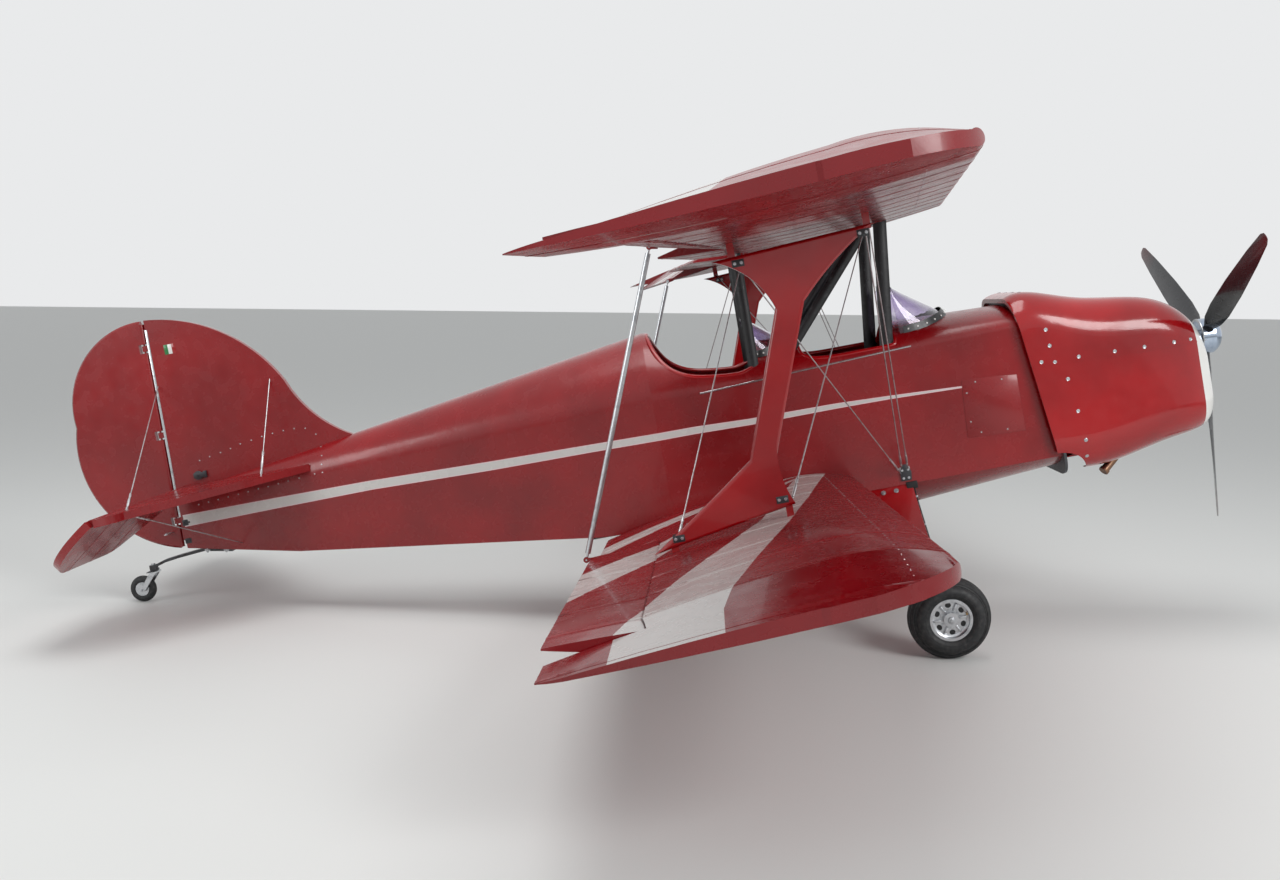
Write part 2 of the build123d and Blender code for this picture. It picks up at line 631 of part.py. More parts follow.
def make_struts(wings):
    """Right interplane strut with its four feet, seated on the two wings."""
    body = extrude(strut_outline(upper_le, lower_le), dir=(0, 1, 0), amount=STRUT_T / 2, both=True)
    body = fillet(body.edges().filter_by(lambda e: e.length > 300).filter_by(
        lambda e: abs(abs(e.center().Y + STRUT_Y) - STRUT_T / 2) < 1), STRUT_ROUND)
    feet = []
    for x, le_of, side, wing in ((STRUT_TOP[0] + FOOT_IN_AFT, upper_le, 1, "upper_wing"),
                                 (STRUT_TOP[1] - FOOT_IN_FRONT, upper_le, 1, "upper_wing"),
                                 (STRUT_FOOT[0] + FOOT_IN_AFT, lower_le, -1, "lower_wing"),
                                 (STRUT_FOOT[1] - FOOT_IN_FRONT, lower_le, -1, "lower_wing")):
        z = under_z(le_of, x, side)
        reach = STRUT_GAP + 20
        lug = Pos(x, -STRUT_Y, z + side * (reach / 2 - 8)) * Box(FOOT_LUG_W, 12, reach + 16)
        feet.append(lug - wings[wing])
    for lug in feet:
        body += lug
    return max_solid(body)


def max_solid(shape):
    """The largest solid of a shape."""
    return max(shape.solids(), key=lambda s: s.volume)


def wing_under(x, y):
    """Point just inside the upper wing above a cabane strut or wire."""
    le = upper_le(y)
    part = (le[0] - x) / CHORD
    return rib_point(le, CHORD, part, 0.0)


def make_cabane(centre):
    """Six streamlined struts between the cockpit sides and the centre section."""
    struts = None
    for side in (-1, 1):
        for _, foot_x, foot_z, head_x, chord in CABANE:
            head = wing_under(head_x, CABANE_Y)
            foot = (foot_x, side * CABANE_Y, foot_z)
            strut = fairing_rod(foot, (head[0], side * CABANE_Y, head[2]), chord, CABANE_T) - centre
            strut = max(strut.solids(), key=lambda s: s.volume)
            struts = strut if struts is None else struts + strut
    return struts


def make_wires(parts):
    """Flying and landing wires of the right side, with their fuselage bracket."""
    bracket = (WIRE_PLATE_AT[0], -(HALF_WIDTH + WIRE_PLATE[1] / 2 + FIT), WIRE_PLATE_AT[1])
    plate = Pos(*bracket) * Box(*WIRE_PLATE)
    ends = []
    for x, le_of, side in ((STRUT_TOP[1] - FOOT_IN_FRONT, upper_le, 1),
                           (STRUT_TOP[0] + FOOT_IN_AFT, upper_le, 1),
                           (STRUT_FOOT[1] - FOOT_IN_FRONT, lower_le, -1),
                           (STRUT_FOOT[0] + FOOT_IN_AFT, lower_le, -1)):
        ends.append(Vector(x, -STRUT_Y, under_z(le_of, x, side) + 15 * side))
    top_front, top_aft, foot_front, foot_aft = ends
    wires = plate
    runs = []
    for shift in (-14.0, 14.0):
        runs.append(((bracket[0] + shift, bracket[1] - 4, bracket[2] + 16),
                     (top_front.X + shift / 2, top_front.Y, top_front.Z)))
    runs.append(((bracket[0] - 20, bracket[1] - 4, bracket[2]), tuple(top_aft)))
    for start, end in runs:
        wires += rod(start, end, WIRE_R)
    head_front = wing_under(CABANE[0][3] - 56, CABANE_Y + 30)
    head_aft = wing_under(CABANE[2][3] + 50, CABANE_Y + 30)
    landing = [rod(head_front, foot_front, WIRE_R), rod(head_aft, foot_aft, WIRE_R)]
    solids = [wires]
    for wire in landing:
        solids.append(wire - parts["upper_centre"])
    out = []
    for solid in solids:
        for other in ("upper_wing", "lower_wing", "interplane_strut"):
            solid = solid - parts[other]
        out.append(max(solid.solids(), key=lambda s: s.volume))
    return Compound(children=out)


def make_tail_wires(fin, tail, stab):
    """Bracing wires of the right stabiliser, seated on the pieces they join."""
    wires = []
    for start, end in TAIL_WIRES:
        wire = rod(start, end, WIRE_R) - fin - tail - stab
        wires.append(max_solid(wire))
    return Compound(children=wires)


def fin_outline():
    """Side view of the fin, down into the deck it stands on."""
    (bx, _), (tx, tz) = RUDDER_HINGE
    half = FIN_T / 2 + GAP
    head, foot = (tx + half, 0, tz), (bx + half, 0, FIN_FOOT_Z)
    upper_via, middle, lower_via, end = [(x, 0, z) for x, z in FIN_EDGE]
    return make_face([
        Line(foot, head),
        ThreePointArc(head, upper_via, middle),
        ThreePointArc(middle, lower_via, end),
        Line(end, foot),
    ])


def rudder_outline():
    """Side view of the rudder behind its hinge line, round from head to heel."""
    heel, head = [(x, 0, z) for x, z in RUDDER_HINGE]
    upper_via, middle, lower_via = [(x, 0, z) for x, z in RUDDER_EDGE]
    return make_face([
        Line(heel, head),
        ThreePointArc(head, upper_via, middle),
        ThreePointArc(middle, lower_via, heel),
    ])


def hinge_point(part):
    """Point of the rudder's hinge line, part of the way up."""
    (bx, bz), (tx, tz) = RUDDER_HINGE
    return Vector(bx + (tx - bx) * part, 0, bz + (tz - bz) * part)


def make_fin(tail):
    """Fin and rudder, with three lugs on the fin round the rudder's hinge pin."""
    parts = {}
    fin = extrude(fin_outline(), dir=(0, 1, 0), amount=FIN_T / 2, both=True) - tail
    rudder = extrude(rudder_outline(), dir=(0, 1, 0), amount=FIN_T / 2, both=True)
    rudder = chamfer(rudder.edges().filter_by(GeomType.CIRCLE), RUDDER_BEVEL)
    low, high = hinge_point(0.005), hinge_point(0.985)
    rudder += rod(tuple(low), tuple(high), FIN_T / 2)
    pin = rod(tuple(low), tuple(high), HINGE_PIN_R)
    bore = rod(tuple(hinge_point(-0.01)), tuple(hinge_point(1.01)), HINGE_PIN_R + FIT)
    reach = FIN_T / 2 + GAP
    for part in HINGE_LUGS:
        at = hinge_point(part)
        rudder -= Pos(at.X + reach - 22, 0, at.Z) * Box(2 * reach, FIN_T + 10, NOTCH_H)
        lug = Pos(at.X + reach / 2, 0, at.Z) * Box(reach + 18, 2 * HINGE_PIN_R + 10, LUG_H)
        fin += (lug - bore) - tail
    rudder += pin
    parts["fin"] = max_solid(fin)
    parts["rudder"] = max_solid(rudder)
    return parts


def tail_row(x):
    """Row of the tail table at a place between two of its own rows."""
    for aft, front in zip(TAIL_STATIONS, TAIL_STATIONS[1:]):
        if x <= front[0]:
            break
    part = (x - aft[0]) / (front[0] - aft[0])
    return [a + (b - a) * part for a, b in zip(aft, front)]


def tail_half_width(x, z):
    """Half width of the tail section's deck at one place."""
    _, half, _, shoulder, crown = tail_row(x)
    return half * sqrt(1 - ((z - shoulder) / (crown - shoulder)) ** 2)


def make_tailplane():
    """Right stabiliser and the elevator's right half, level."""
    hinge = STAB_HINGE_X
    half = STAB_T / 2 + GAP
    sx, sy = STAB_SHOULDER
    z0 = STAB_Z - STAB_T / 2
    root_aft = (hinge + half, -(FIN_T / 2 + FIT), z0)
    root_front = (STAB_ROOT_LE, -(tail_half_width(STAB_ROOT_LE, z0) + FIT), z0)
    stab_face = make_face([
        Line(root_aft, root_front),
        Line(root_front, (sx, -sy, z0)),
        ThreePointArc((sx, -sy, z0), (sx - 29, -(sy + 68), z0), (hinge + half, -STAB_TIP_Y, z0)),
        Line((hinge + half, -STAB_TIP_Y, z0), root_aft),
    ])
    stab = extrude(stab_face, dir=(0, 0, 1), amount=STAB_T)
    rear = hinge - ELEVATOR_CHORD
    inner = ELEVATOR_INNER_Y
    tip_y = STAB_TIP_Y
    elevator_face = make_face([
        Line((hinge, -ELEVATOR_ROOT_Y, z0), (rear + 30, -inner, z0)),
        ThreePointArc((rear + 30, -inner, z0), (rear + 6, -(inner + 60), z0), (rear, -(inner + 130), z0)),
        Line((rear, -(inner + 130), z0), (rear, -(tip_y - 190), z0)),
        ThreePointArc((rear, -(tip_y - 190), z0), (rear + 84, -(tip_y - 48), z0), (hinge, -tip_y, z0)),
        Line((hinge, -tip_y, z0), (hinge, -ELEVATOR_ROOT_Y, z0)),
    ])
    elevator = extrude(elevator_face, dir=(0, 0, 1), amount=STAB_T)
    elevator += rod((hinge, -ELEVATOR_ROOT_Y, STAB_Z), (hinge, -tip_y + 30, STAB_Z), STAB_T / 2)
    return stab, elevator


def torque_bore():
    """Bearing bore for the elevator's torque tube, through the fin and the tail."""
    end = 3 * ELEVATOR_ROOT_Y
    return rod((STAB_HINGE_X, -end, STAB_Z), (STAB_HINGE_X, end, STAB_Z), TORQUE_R + FIT)


def tail_nodes():
    """Stabilisers, and one elevator with its torque tube."""
    parts = {}
    stab, half = make_tailplane()
    hinge = Axis((STAB_HINGE_X, 0, STAB_Z), (0, 1, 0))
    end = ELEVATOR_ROOT_Y + 20
    tube = rod((STAB_HINGE_X, -end, STAB_Z), (STAB_HINGE_X, end, STAB_Z), TORQUE_R)
    elevator = half + mirror_y(half) + tube
    parts["elevator"] = elevator.rotate(hinge, -ELEVATOR_DROOP)
    parts["stabiliser_right"], parts["stabiliser_left"] = stab, mirror_y(stab)
    return parts


def make_tail_wheel(tail):
    """Leaf spring with the pivot boss, fork and wheel of the tail gear."""
    parts = {}
    px, pz = FORK_PIVOT
    top = [(x, tail_row(x)[2] - FIT) for x in SPRING_SEAT_X]
    top += [*SPRING_BEND, (px, pz + FORK_BOSS_H - 4)]
    under = [(x, z - SPRING_T) for x, z in reversed(top)]
    bore = Pos(px, 0, pz) * Cylinder(FORK_POST_R + FIT, 200)
    boss = Pos(px, 0, pz + FORK_BOSS_H / 2) * Cylinder(SPRING_W / 2, FORK_BOSS_H)
    spring = side_prism(top + under, SPRING_W / 2) + boss - bore
    parts["tail_spring"] = max_solid(spring - tail)
    cheek_w = TAIL_TYRE_W / 2 + 9
    crown_z = pz - FIT - FORK_CROWN_T / 2
    post_h = FORK_BOSS_H + FORK_CROWN_T + 8
    fork = Pos(px, 0, pz - FORK_CROWN_T + post_h / 2) * Cylinder(FORK_POST_R, post_h)
    fork += Pos(px, 0, crown_z) * Box(40, 2 * cheek_w + 6, FORK_CROWN_T)
    for side in (-1, 1):
        arm = side_prism([(px + 18, crown_z), (px - 18, crown_z), (TAIL_X - 12, TAIL_Z - 12),
                          (TAIL_X + 16, TAIL_Z - 12)], 3)
        fork += Pos(0, side * cheek_w, 0) * arm
    fork += rod((TAIL_X, -cheek_w, TAIL_Z), (TAIL_X, cheek_w, TAIL_Z), TAIL_AXLE_R)
    tyre = Pos(TAIL_X, 0, TAIL_Z) * Rot(90, 0, 0) * tyre_shape(TAIL_TYRE_R, TAIL_TYRE_W, TAIL_HUB_R)
    hub = Pos(TAIL_X, 0, TAIL_Z) * Rot(90, 0, 0) * (Cylinder(TAIL_HUB_R, TAIL_TYRE_W - 4)
                                                    - Cylinder(TAIL_AXLE_R + FIT, 80))
    parts["tail_fork"] = fork
    parts["tail_tyre"] = tyre
    parts["tail_hub"] = hub
    return parts


def tyre_shape(outer, width, bore):
    """Tyre about Z: round tread and bulged walls."""
    half = width / 2
    edge = outer - half * 0.42
    middle = (bore + edge) / 2
    face = make_face([
        Line((bore, 0, -half * 0.78), (bore, 0, half * 0.78)),
        ThreePointArc((bore, 0, half * 0.78), (middle, 0, half), (edge, 0, half * 0.72)),
        ThreePointArc((edge, 0, half * 0.72), (outer, 0, 0), (edge, 0, -half * 0.72)),
        ThreePointArc((edge, 0, -half * 0.72), (middle, 0, -half), (bore, 0, -half * 0.78)),
    ])
    return revolve(face, Axis.Z)


def make_gear(belly, sides):
    """Right gear leg fairing with its axle, shock strut, tyre and rim."""
    parts = {}
    hub_y = -TRACK / 2
    inner_y = hub_y + AXLE_INNER
    top_y = -(HALF_WIDTH - LEG_T / 2 - LEG_IN)
    rows = ((LEG_TOP, top_y, FLOOR_Z + LEG_RISE), (LEG_FOOT, inner_y, AXLE_Z - LEG_DROP))
    faces = []
    for (aft, front), y, z in rows:
        near, far = y - LEG_T / 2, y + LEG_T / 2
        corners = [(aft, near, z), (front, near, z), (front, far, z), (aft, far, z)]
        faces.append(make_face(Polyline(corners, close=True)))
    plate = loft(faces, ruled=True)
    axle = rod((AXLE_X, inner_y + LEG_T * 0.6, AXLE_Z), (AXLE_X, hub_y - RIM_W / 2, AXLE_Z), AXLE_R)
    leg = (plate - belly - sides) + axle
    parts["gear_leg"] = max_solid(leg)
    strut_x = AXLE_X - SHOCK_FOOT[0]
    strut = rod((strut_x, inner_y, AXLE_Z + SHOCK_FOOT[1]), (strut_x, -SHOCK_TOP[0], SHOCK_TOP[1]), SHOCK_R)
    parts["shock_strut"] = max_solid(strut - belly - leg)
    place = Pos(AXLE_X, hub_y, AXLE_Z) * Rot(90, 0, 0)
    parts["main_tyre"] = place * tyre_shape(TYRE_R, TYRE_W, RIM_R)
    rim = Cylinder(RIM_R, RIM_W)
    for side in (-1, 1):
        rim -= Pos(0, 0, side * RIM_W / 2) * Cylinder(RIM_R - RIM_WALL, 2 * RIM_DISH)
    rim += Cylinder(RIM_HUB_R, RIM_W)
    rim -= Cylinder(AXLE_R + FIT, RIM_W + 20)
    parts["main_rim"] = place * rim
    return parts


def make_seats(cavity):
    """Two seats that stand on the cockpit floor."""
    parts = {}
    for name, x in zip(("front", "rear"), SEAT_X):
        floor = FLOOR_Z + WALL
        base = Pos(x, 0, floor + SEAT_H / 2) * Box(SEAT_DEPTH, SEAT_W, SEAT_H)
        base = fillet(base.edges().filter_by(Axis.Y).group_by(Axis.Z)[-1], SEAT_ROUND)
        back = Pos(x - SEAT_DEPTH / 2 + 10, 0, floor + SEAT_H + SEAT_BACK_H / 2 - 30)
        back = back * Rot(0, -SEAT_LEAN, 0) * Box(SEAT_BACK_T, SEAT_W, SEAT_BACK_H)
        parts[f"{name}_seat"] = (base + back) & cavity
    return parts


def screen_section(side_x, middle_x, half, z):
    """Thin section of a windscreen at one height, between two half ellipses."""
    arcs = []
    for inset in (0.0, SCREEN_T):
        plane = Plane(origin=(side_x, 0, z))
        arcs.append(plane * EllipticalCenterArc((0, 0), middle_x - side_x - inset, half - inset,
                                                start_angle=-90, arc_size=180))
    outer, inner = arcs
    return make_face([outer, inner, Line(outer @ 0, inner @ 0), Line(outer @ 1, inner @ 1)])


def make_screens(deck_solid):
    """Bent windscreens with round top corners, cut to stand on the decks."""
    parts = {}
    for name, side_low, middle_low, side_top, middle_top, top in SCREENS:
        glass = loft([screen_section(side_low, middle_low, SCREEN_HALF, SCREEN_LOW),
                      screen_section(side_top, middle_top, SCREEN_TOP_HALF, top)], ruled=True)
        height = 2 * (top - SCREEN_LOW)
        front = RectangleRounded(2 * SCREEN_HALF, height, SCREEN_CORNER_R)
        plane = Plane(origin=(middle_low, 0, SCREEN_LOW), z_dir=(1, 0, 0), x_dir=(0, 1, 0))
        corners = extrude(plane * front, amount=2 * FRONT_EDGE[-1][0] + 1000, both=True)
        parts[f"{name}_windscreen"] = max_solid((glass & corners) - deck_solid)
    return parts


def tie_lug(at):
    """Tie-down lug with its bore across the aeroplane."""
    lug = Pos(*at) * Rot(90, 0, 0) * Cylinder(TIE_LUG_R, TIE_LUG_T)
    lug += Pos(at[0], at[1], at[2] + 30) * Box(2 * TIE_LUG_R, TIE_LUG_T, 60)
    return lug - Pos(*at) * Rot(90, 0, 0) * Cylinder(TIE_BORE_R, 4 * TIE_LUG_T)


def build_model():
    """All pieces by node name, still in the level frame."""
    parts, bay, cavity = make_fuselage()
    parts.update(make_cowl(bay))
    parts.update(make_propeller())
    parts.update(make_seats(cavity))
    parts.update(make_screens(bay))
    wings = make_wings()
    centre = make_centre()
    parts["upper_centre"] = centre
    strut = make_struts(wings)
    low_x, low_y, low_z = rib_point(lower_le(STRUT_Y - 60), CHORD, (LOWER_X - TIE_X) / CHORD, -0.034)
    lug_at = (low_x, low_y, low_z - TIE_DROP)
    lug = tie_lug(lug_at) - wings["lower_wing"]
    lug = min(lug.solids(), key=lambda s: s.center().Z)
    set_right = {"interplane_strut": strut, "tie_down": lug}
    for name in ("upper_wing", "lower_wing"):
        set_right[name] = wings[name]
    set_right["wires"] = make_wires({**wings, "upper_centre": centre, "interplane_strut": strut})
    set_right.update(make_gear(parts["belly"], parts["cockpit_sides"]))
    for name, shape in set_right.items():
        parts[f"{name}_right"] = shape
        parts[f"{name}_left"] = mirror_y(shape)
    for name, le_of in (("upper", upper_le), ("lower", lower_le)):
        inner, outer = hinge_line(le_of)
        axis = Axis(tuple(inner), tuple(outer - inner))
        shape = wings[f"{name}_aileron"]
        parts[f"{name}_aileron_right"] = shape.rotate(axis, aileron_turn(1))
        parts[f"{name}_aileron_left"] = mirror_y(shape.rotate(axis, aileron_turn(-1)))
    for name, side in SIDES:
        parts[f"slave_strut_{name}"] = place_slave(wings["slave_strut"], side)
    parts["cabane_struts"] = make_cabane(centre)
    for name in ("top_deck", "cockpit_sides", "rear_panel", "rear_windscreen"):
        parts[name] = max_solid(parts[name] - parts["cabane_struts"])
    parts.update(make_fin(parts["tail_section"]))
    for name in ("fin", "tail_section"):
        parts[name] = max_solid(parts[name] - torque_bore())
    parts.update(tail_nodes())
    wires = make_tail_wires(parts["fin"], parts["tail_section"], parts["stabiliser_right"])
    parts["tail_wires_right"], parts["tail_wires_left"] = wires, mirror_y(wires)
    parts.update(make_tail_wheel(parts["tail_section"]))
    return parts


def aileron_turn(sense):
    """Turn of a right aileron at rest: plus raises its trailing edge."""
    return AILERON_REST * sense * -1


def place_slave(strut, side):
    """Slave strut moved with the trailing corner of its lower aileron."""
    inner, outer = hinge_line(lower_le)
    eye = slave_ends()[0]
    axis = Axis(tuple(inner), tuple(outer - inner))
    shift = inner + (eye - inner).rotate(axis, aileron_turn(-side)) - eye
    moved = Pos(*shift) * strut
    return moved if side < 0 else mirror_y(moved)


def park(parts):
    """Stand the aeroplane on its wheels, centred over the origin."""
    turned = {name: Rot(0, -PITCH, 0) * shape for name, shape in parts.items()}
    boxes = [shape.bounding_box() for shape in turned.values()]
    middle = (min(b.min.X for b in boxes) + max(b.max.X for b in boxes)) / 2
    axle_z = AXLE_X * sin(radians(PITCH)) + AXLE_Z * cos(radians(PITCH))
    shift = Pos(-middle, 0, TYRE_R - axle_z)
    return {name: shift * shape for name, shape in turned.items()}


if __name__ == "__main__":
    os.makedirs("parts", exist_ok=True)
    for node, solid in park(build_model()).items():
        export_step(solid, f"parts/{node}.step")
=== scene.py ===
"""Dresses the two-seat ultralight biplane on the fixed frame of its CAD model.

The aeroplane is drawn level, in millimetres: X forward, Y to port, Z up, with the datum
on the centre plane under the main axle. PARK turns and moves that onto its wheels.
"""
import logging
import math
from contextlib import contextmanager
from dataclasses import dataclass
from enum import Enum
from typing import Callable, Iterator, Optional, Sequence, Union

import bmesh
import bpy
from mathutils import Matrix, Quaternion, Vector
from mathutils.bvhtree import BVHTree


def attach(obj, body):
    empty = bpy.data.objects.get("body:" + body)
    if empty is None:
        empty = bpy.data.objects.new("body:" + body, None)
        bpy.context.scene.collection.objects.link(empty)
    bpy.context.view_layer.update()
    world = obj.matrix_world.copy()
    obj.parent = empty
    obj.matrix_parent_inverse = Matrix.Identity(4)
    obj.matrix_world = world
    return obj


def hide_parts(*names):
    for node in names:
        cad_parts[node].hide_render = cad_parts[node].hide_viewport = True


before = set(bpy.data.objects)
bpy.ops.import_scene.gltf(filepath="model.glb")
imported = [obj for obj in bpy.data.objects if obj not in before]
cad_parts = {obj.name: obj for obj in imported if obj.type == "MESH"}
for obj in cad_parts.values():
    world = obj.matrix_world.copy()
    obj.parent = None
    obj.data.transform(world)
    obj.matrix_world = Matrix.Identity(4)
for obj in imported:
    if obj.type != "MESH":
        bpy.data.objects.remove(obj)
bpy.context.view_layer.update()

LOG = logging.getLogger("biplane")
MM = 0.001
PITCH = math.radians(11.507482)
SHIFT = Vector((1.3900903, 0.0, 0.0003359))
PARK = Matrix.Translation(SHIFT) @ Matrix.Rotation(-PITCH, 4, "Y")
Piece = bpy.types.Object
Tree = bpy.types.NodeTree
Socket = bpy.types.NodeSocket
Shader = bpy.types.Node
Point = Sequence[float]
Row = tuple[float, float]
Hit = tuple[Vector, Vector]
Test = Callable[[Vector, Vector], bool]


# ---------------------------------------------------------------- making shapes

class Shape(Enum):
    """Primitives that a piece may start from."""
    BLOCK = "block"
    ROUND = "round"
    BALL = "ball"


def rest() -> None:
    """Leaves edit mode and selects nothing."""
    if bpy.context.object and bpy.context.object.mode != "OBJECT":
        bpy.ops.object.mode_set(mode="OBJECT")
    bpy.ops.object.select_all(action="DESELECT")


def only(piece: Piece) -> None:
    """Selects one object and makes it the active one."""
    rest()
    piece.select_set(True)
    bpy.context.view_layer.objects.active = piece


def settle(piece: Piece, place: Optional[Matrix] = None) -> Piece:
    """Writes an object's place into its mesh.

    Args:
        piece: the object.
        place: a matrix to give it first.

    Returns:
        The same object, at the origin, unturned and unscaled.
    """
    only(piece)
    if place is not None:
        piece.matrix_world = place
    bpy.ops.object.transform_apply(location=True, rotation=True, scale=True)
    return piece


def along(run: Point) -> Quaternion:
    """The turn that lays a shape's own Z along a direction."""
    return Vector(run).to_track_quat("Z", "Y")


def begin(shape: Shape, at: Point, size: Point, turn: Optional[Quaternion] = None,
          sides: int = 20) -> Piece:
    """Adds a primitive at its size and place.

    Args:
        shape: which primitive.
        at: its middle, in mm in the level frame.
        size: its three sizes in mm, before the turn.
        turn: how it is turned.
        sides: segments round it.

    Returns:
        The new object, with its place in its mesh.
    """
    rest()
    if shape is Shape.BLOCK:
        bpy.ops.mesh.primitive_cube_add(size=1.0)
    elif shape is Shape.ROUND:
        bpy.ops.mesh.primitive_cylinder_add(vertices=sides, radius=0.5, depth=1.0)
    else:
        bpy.ops.mesh.primitive_uv_sphere_add(segments=sides, ring_count=sides // 2, radius=0.5)
    scale = Matrix.Diagonal((*[side * MM for side in size], 1.0))
    turned = (turn or Quaternion()).to_matrix().to_4x4()
    return settle(bpy.context.object, Matrix.Translation(Vector(at) * MM) @ turned @ scale)


@contextmanager
def editing(piece: Piece, mode: str = "FACE") -> Iterator[bmesh.types.BMesh]:
    """Opens a piece in edit mode with nothing selected.

    Args:
        piece: the object.
        mode: VERT, EDGE or FACE.

    Returns:
        The mesh under edit.
    """
    only(piece)
    bpy.ops.object.mode_set(mode="EDIT")
    bpy.ops.mesh.select_mode(type=mode)
    bpy.ops.mesh.select_all(action="DESELECT")
    yield bmesh.from_edit_mesh(piece.data)
    bpy.ops.object.mode_set(mode="OBJECT")


def pick(piece: Piece, mesh: bmesh.types.BMesh, test: Test) -> None:
    """Selects the faces of a piece under edit whose middle and normal pass a test."""
    for face in mesh.faces:
        face.select_set(test(face.calc_center_median(), face.normal))
    bmesh.update_edit_mesh(piece.data)


def face_outward() -> None:
    """Turns all normals of the piece under edit outward."""
    bpy.ops.mesh.select_all(action="SELECT")
    bpy.ops.mesh.normals_make_consistent(inside=False)


def soften(piece: Piece, width: float, segments: int = 2, sharp: float = 40.0) -> Piece:
    """Bevels the sharp edges of a piece.

    Args:
        piece: the object.
        width: the bevel's width in mm.
        segments: its rows of faces.
        sharp: angle in degrees from which an edge counts as sharp.

    Returns:
        The same object.
    """
    with editing(piece, "EDGE"):
        bpy.ops.mesh.edges_select_sharp(sharpness=math.radians(sharp))
        bpy.ops.mesh.bevel(offset=width * MM, segments=segments, affect="EDGES")
    return piece


def block(at: Point, size: Point, edge: float = 1.0, turn: Optional[Quaternion] = None,
          segments: int = 2) -> Piece:
    """A block with rounded edges."""
    return soften(begin(Shape.BLOCK, at, size, turn), edge, segments)


def bar(start: Point, end: Point, radius: float, edge: float = 0.6,
        sides: int = 12) -> Piece:
    """A round bar between two points, with rounded ends."""
    low, high = Vector(start), Vector(end)
    run = high - low
    size = (2 * radius, 2 * radius, run.length)
    return soften(begin(Shape.ROUND, (low + high) / 2, size, along(run), sides), edge, 1)


def outline(points: Sequence[Point], depth: Point, edge: float = 0.0) -> Piece:
    """A plate with any outline.

    Args:
        points: its corners in order, in mm in the level frame.
        depth: the direction and length of its thickness, in mm.
        edge: the width of its edge bevel in mm, or 0 for none.

    Returns:
        The new object.
    """
    rest()
    bpy.ops.mesh.primitive_circle_add(vertices=len(points), fill_type="NGON")
    piece = bpy.context.object
    with editing(piece, "VERT") as mesh:
        mesh.verts.ensure_lookup_table()
        for vert, point in zip(mesh.verts, points):
            vert.co = Vector(point) * MM
        bmesh.update_edit_mesh(piece.data)
        bpy.ops.mesh.select_mode(type="FACE")
        bpy.ops.mesh.select_all(action="SELECT")
        move = {"value": tuple(Vector(depth) * MM)}
        bpy.ops.mesh.extrude_region_move(TRANSFORM_OT_translate=move)
        face_outward()
    return soften(piece, edge, 2, 50) if edge else piece


def lathe(profile: Sequence[Row], at: Point, axis: Point, steps: int = 32) -> Piece:
    """Spins a closed profile round an axis.

    Args:
        profile: radius and height pairs in mm, closed on themselves.
        at: where height 0 stands on the axis.
        axis: the direction of the axis.
        steps: segments round it.

    Returns:
        The new object.
    """
    rest()
    bpy.ops.mesh.primitive_circle_add(vertices=len(profile), fill_type="NOTHING")
    piece = bpy.context.object
    with editing(piece, "VERT") as mesh:
        mesh.verts.ensure_lookup_table()
        for vert, (radius, height) in zip(mesh.verts, profile):
            vert.co = (radius * MM, 0.0, height * MM)
        bmesh.update_edit_mesh(piece.data)
        bpy.ops.mesh.select_all(action="SELECT")
        bpy.ops.mesh.spin(steps=steps, angle=2 * math.pi, center=(0, 0, 0), axis=(0, 0, 1))
        bpy.ops.mesh.select_all(action="SELECT")
        bpy.ops.mesh.remove_doubles(threshold=1e-5)
        bpy.ops.mesh.delete_loose()
        face_outward()
    place = Matrix.Translation(Vector(at) * MM) @ along(axis).to_matrix().to_4x4()
    return settle(piece, place)


def pipe(points: Sequence[Point], radius: float, smooth: bool = True, closed: bool = False,
         sides: int = 3) -> Piece:
    """A tube along points, as a mesh.

    Args:
        points: its control points in mm in the level frame.
        radius: its radius in mm.
        smooth: True for a smooth line, False for straight runs.
        closed: whether its end joins its start.
        sides: roundness of the tube's section.

    Returns:
        The new object.
    """
    rest()
    bpy.ops.curve.primitive_nurbs_path_add()
    piece = bpy.context.object
    curve = piece.data
    curve.splines.clear()
    line = curve.splines.new("NURBS" if smooth else "POLY")
    line.points.add(len(points) - 1)
    for spot, point in zip(line.points, points):
        spot.co = (*(Vector(point) * MM), 1.0)
    line.use_cyclic_u = closed
    if smooth:
        line.order_u = 4
        line.use_endpoint_u = not closed
        line.resolution_u = 4
    curve.bevel_depth = radius * MM
    curve.bevel_resolution = sides
    curve.use_fill_caps = not closed
    only(piece)
    bpy.ops.object.convert(target="MESH")
    return settle(bpy.context.object)


def merge(pieces: Sequence[Piece]) -> Piece:
    """Joins pieces into the first one."""
    only(pieces[0])
    for piece in pieces:
        piece.select_set(True)
    bpy.ops.object.join()
    return pieces[0]


def duplicate(piece: Piece) -> Piece:
    """A copy of a piece with its own mesh."""
    twin = piece.copy()
    twin.data = piece.data.copy()
    bpy.context.collection.objects.link(twin)
    return twin


def copies(model: Piece, places: Sequence[Matrix]) -> Piece:
    """Copies a model to each place, each with its own mesh, and joins the copies.

    Args:
        model: a piece made round the origin; it is used up.
        places: matrices in metres in the level frame.

    Returns:
        One object that holds all the copies.
    """
    made = []
    for place in places:
        made.append(duplicate(model))
        made[-1].matrix_world = place
    bpy.data.objects.remove(model)
    bpy.context.view_layer.update()
    return settle(merge(made))


def mirrored(piece: Piece) -> Piece:
    """Copies a piece to the other side of the centre plane.

    Args:
        piece: the object; it stays.

    Returns:
        The mirror image, with its own mesh.
    """
    twin = settle(duplicate(piece), Matrix.Diagonal((1.0, -1.0, 1.0, 1.0)))
    with editing(twin):
        face_outward()
    return twin


def pair(piece: Piece) -> Piece:
    """A piece joined with its mirror image."""
    return merge([piece, mirrored(piece)])


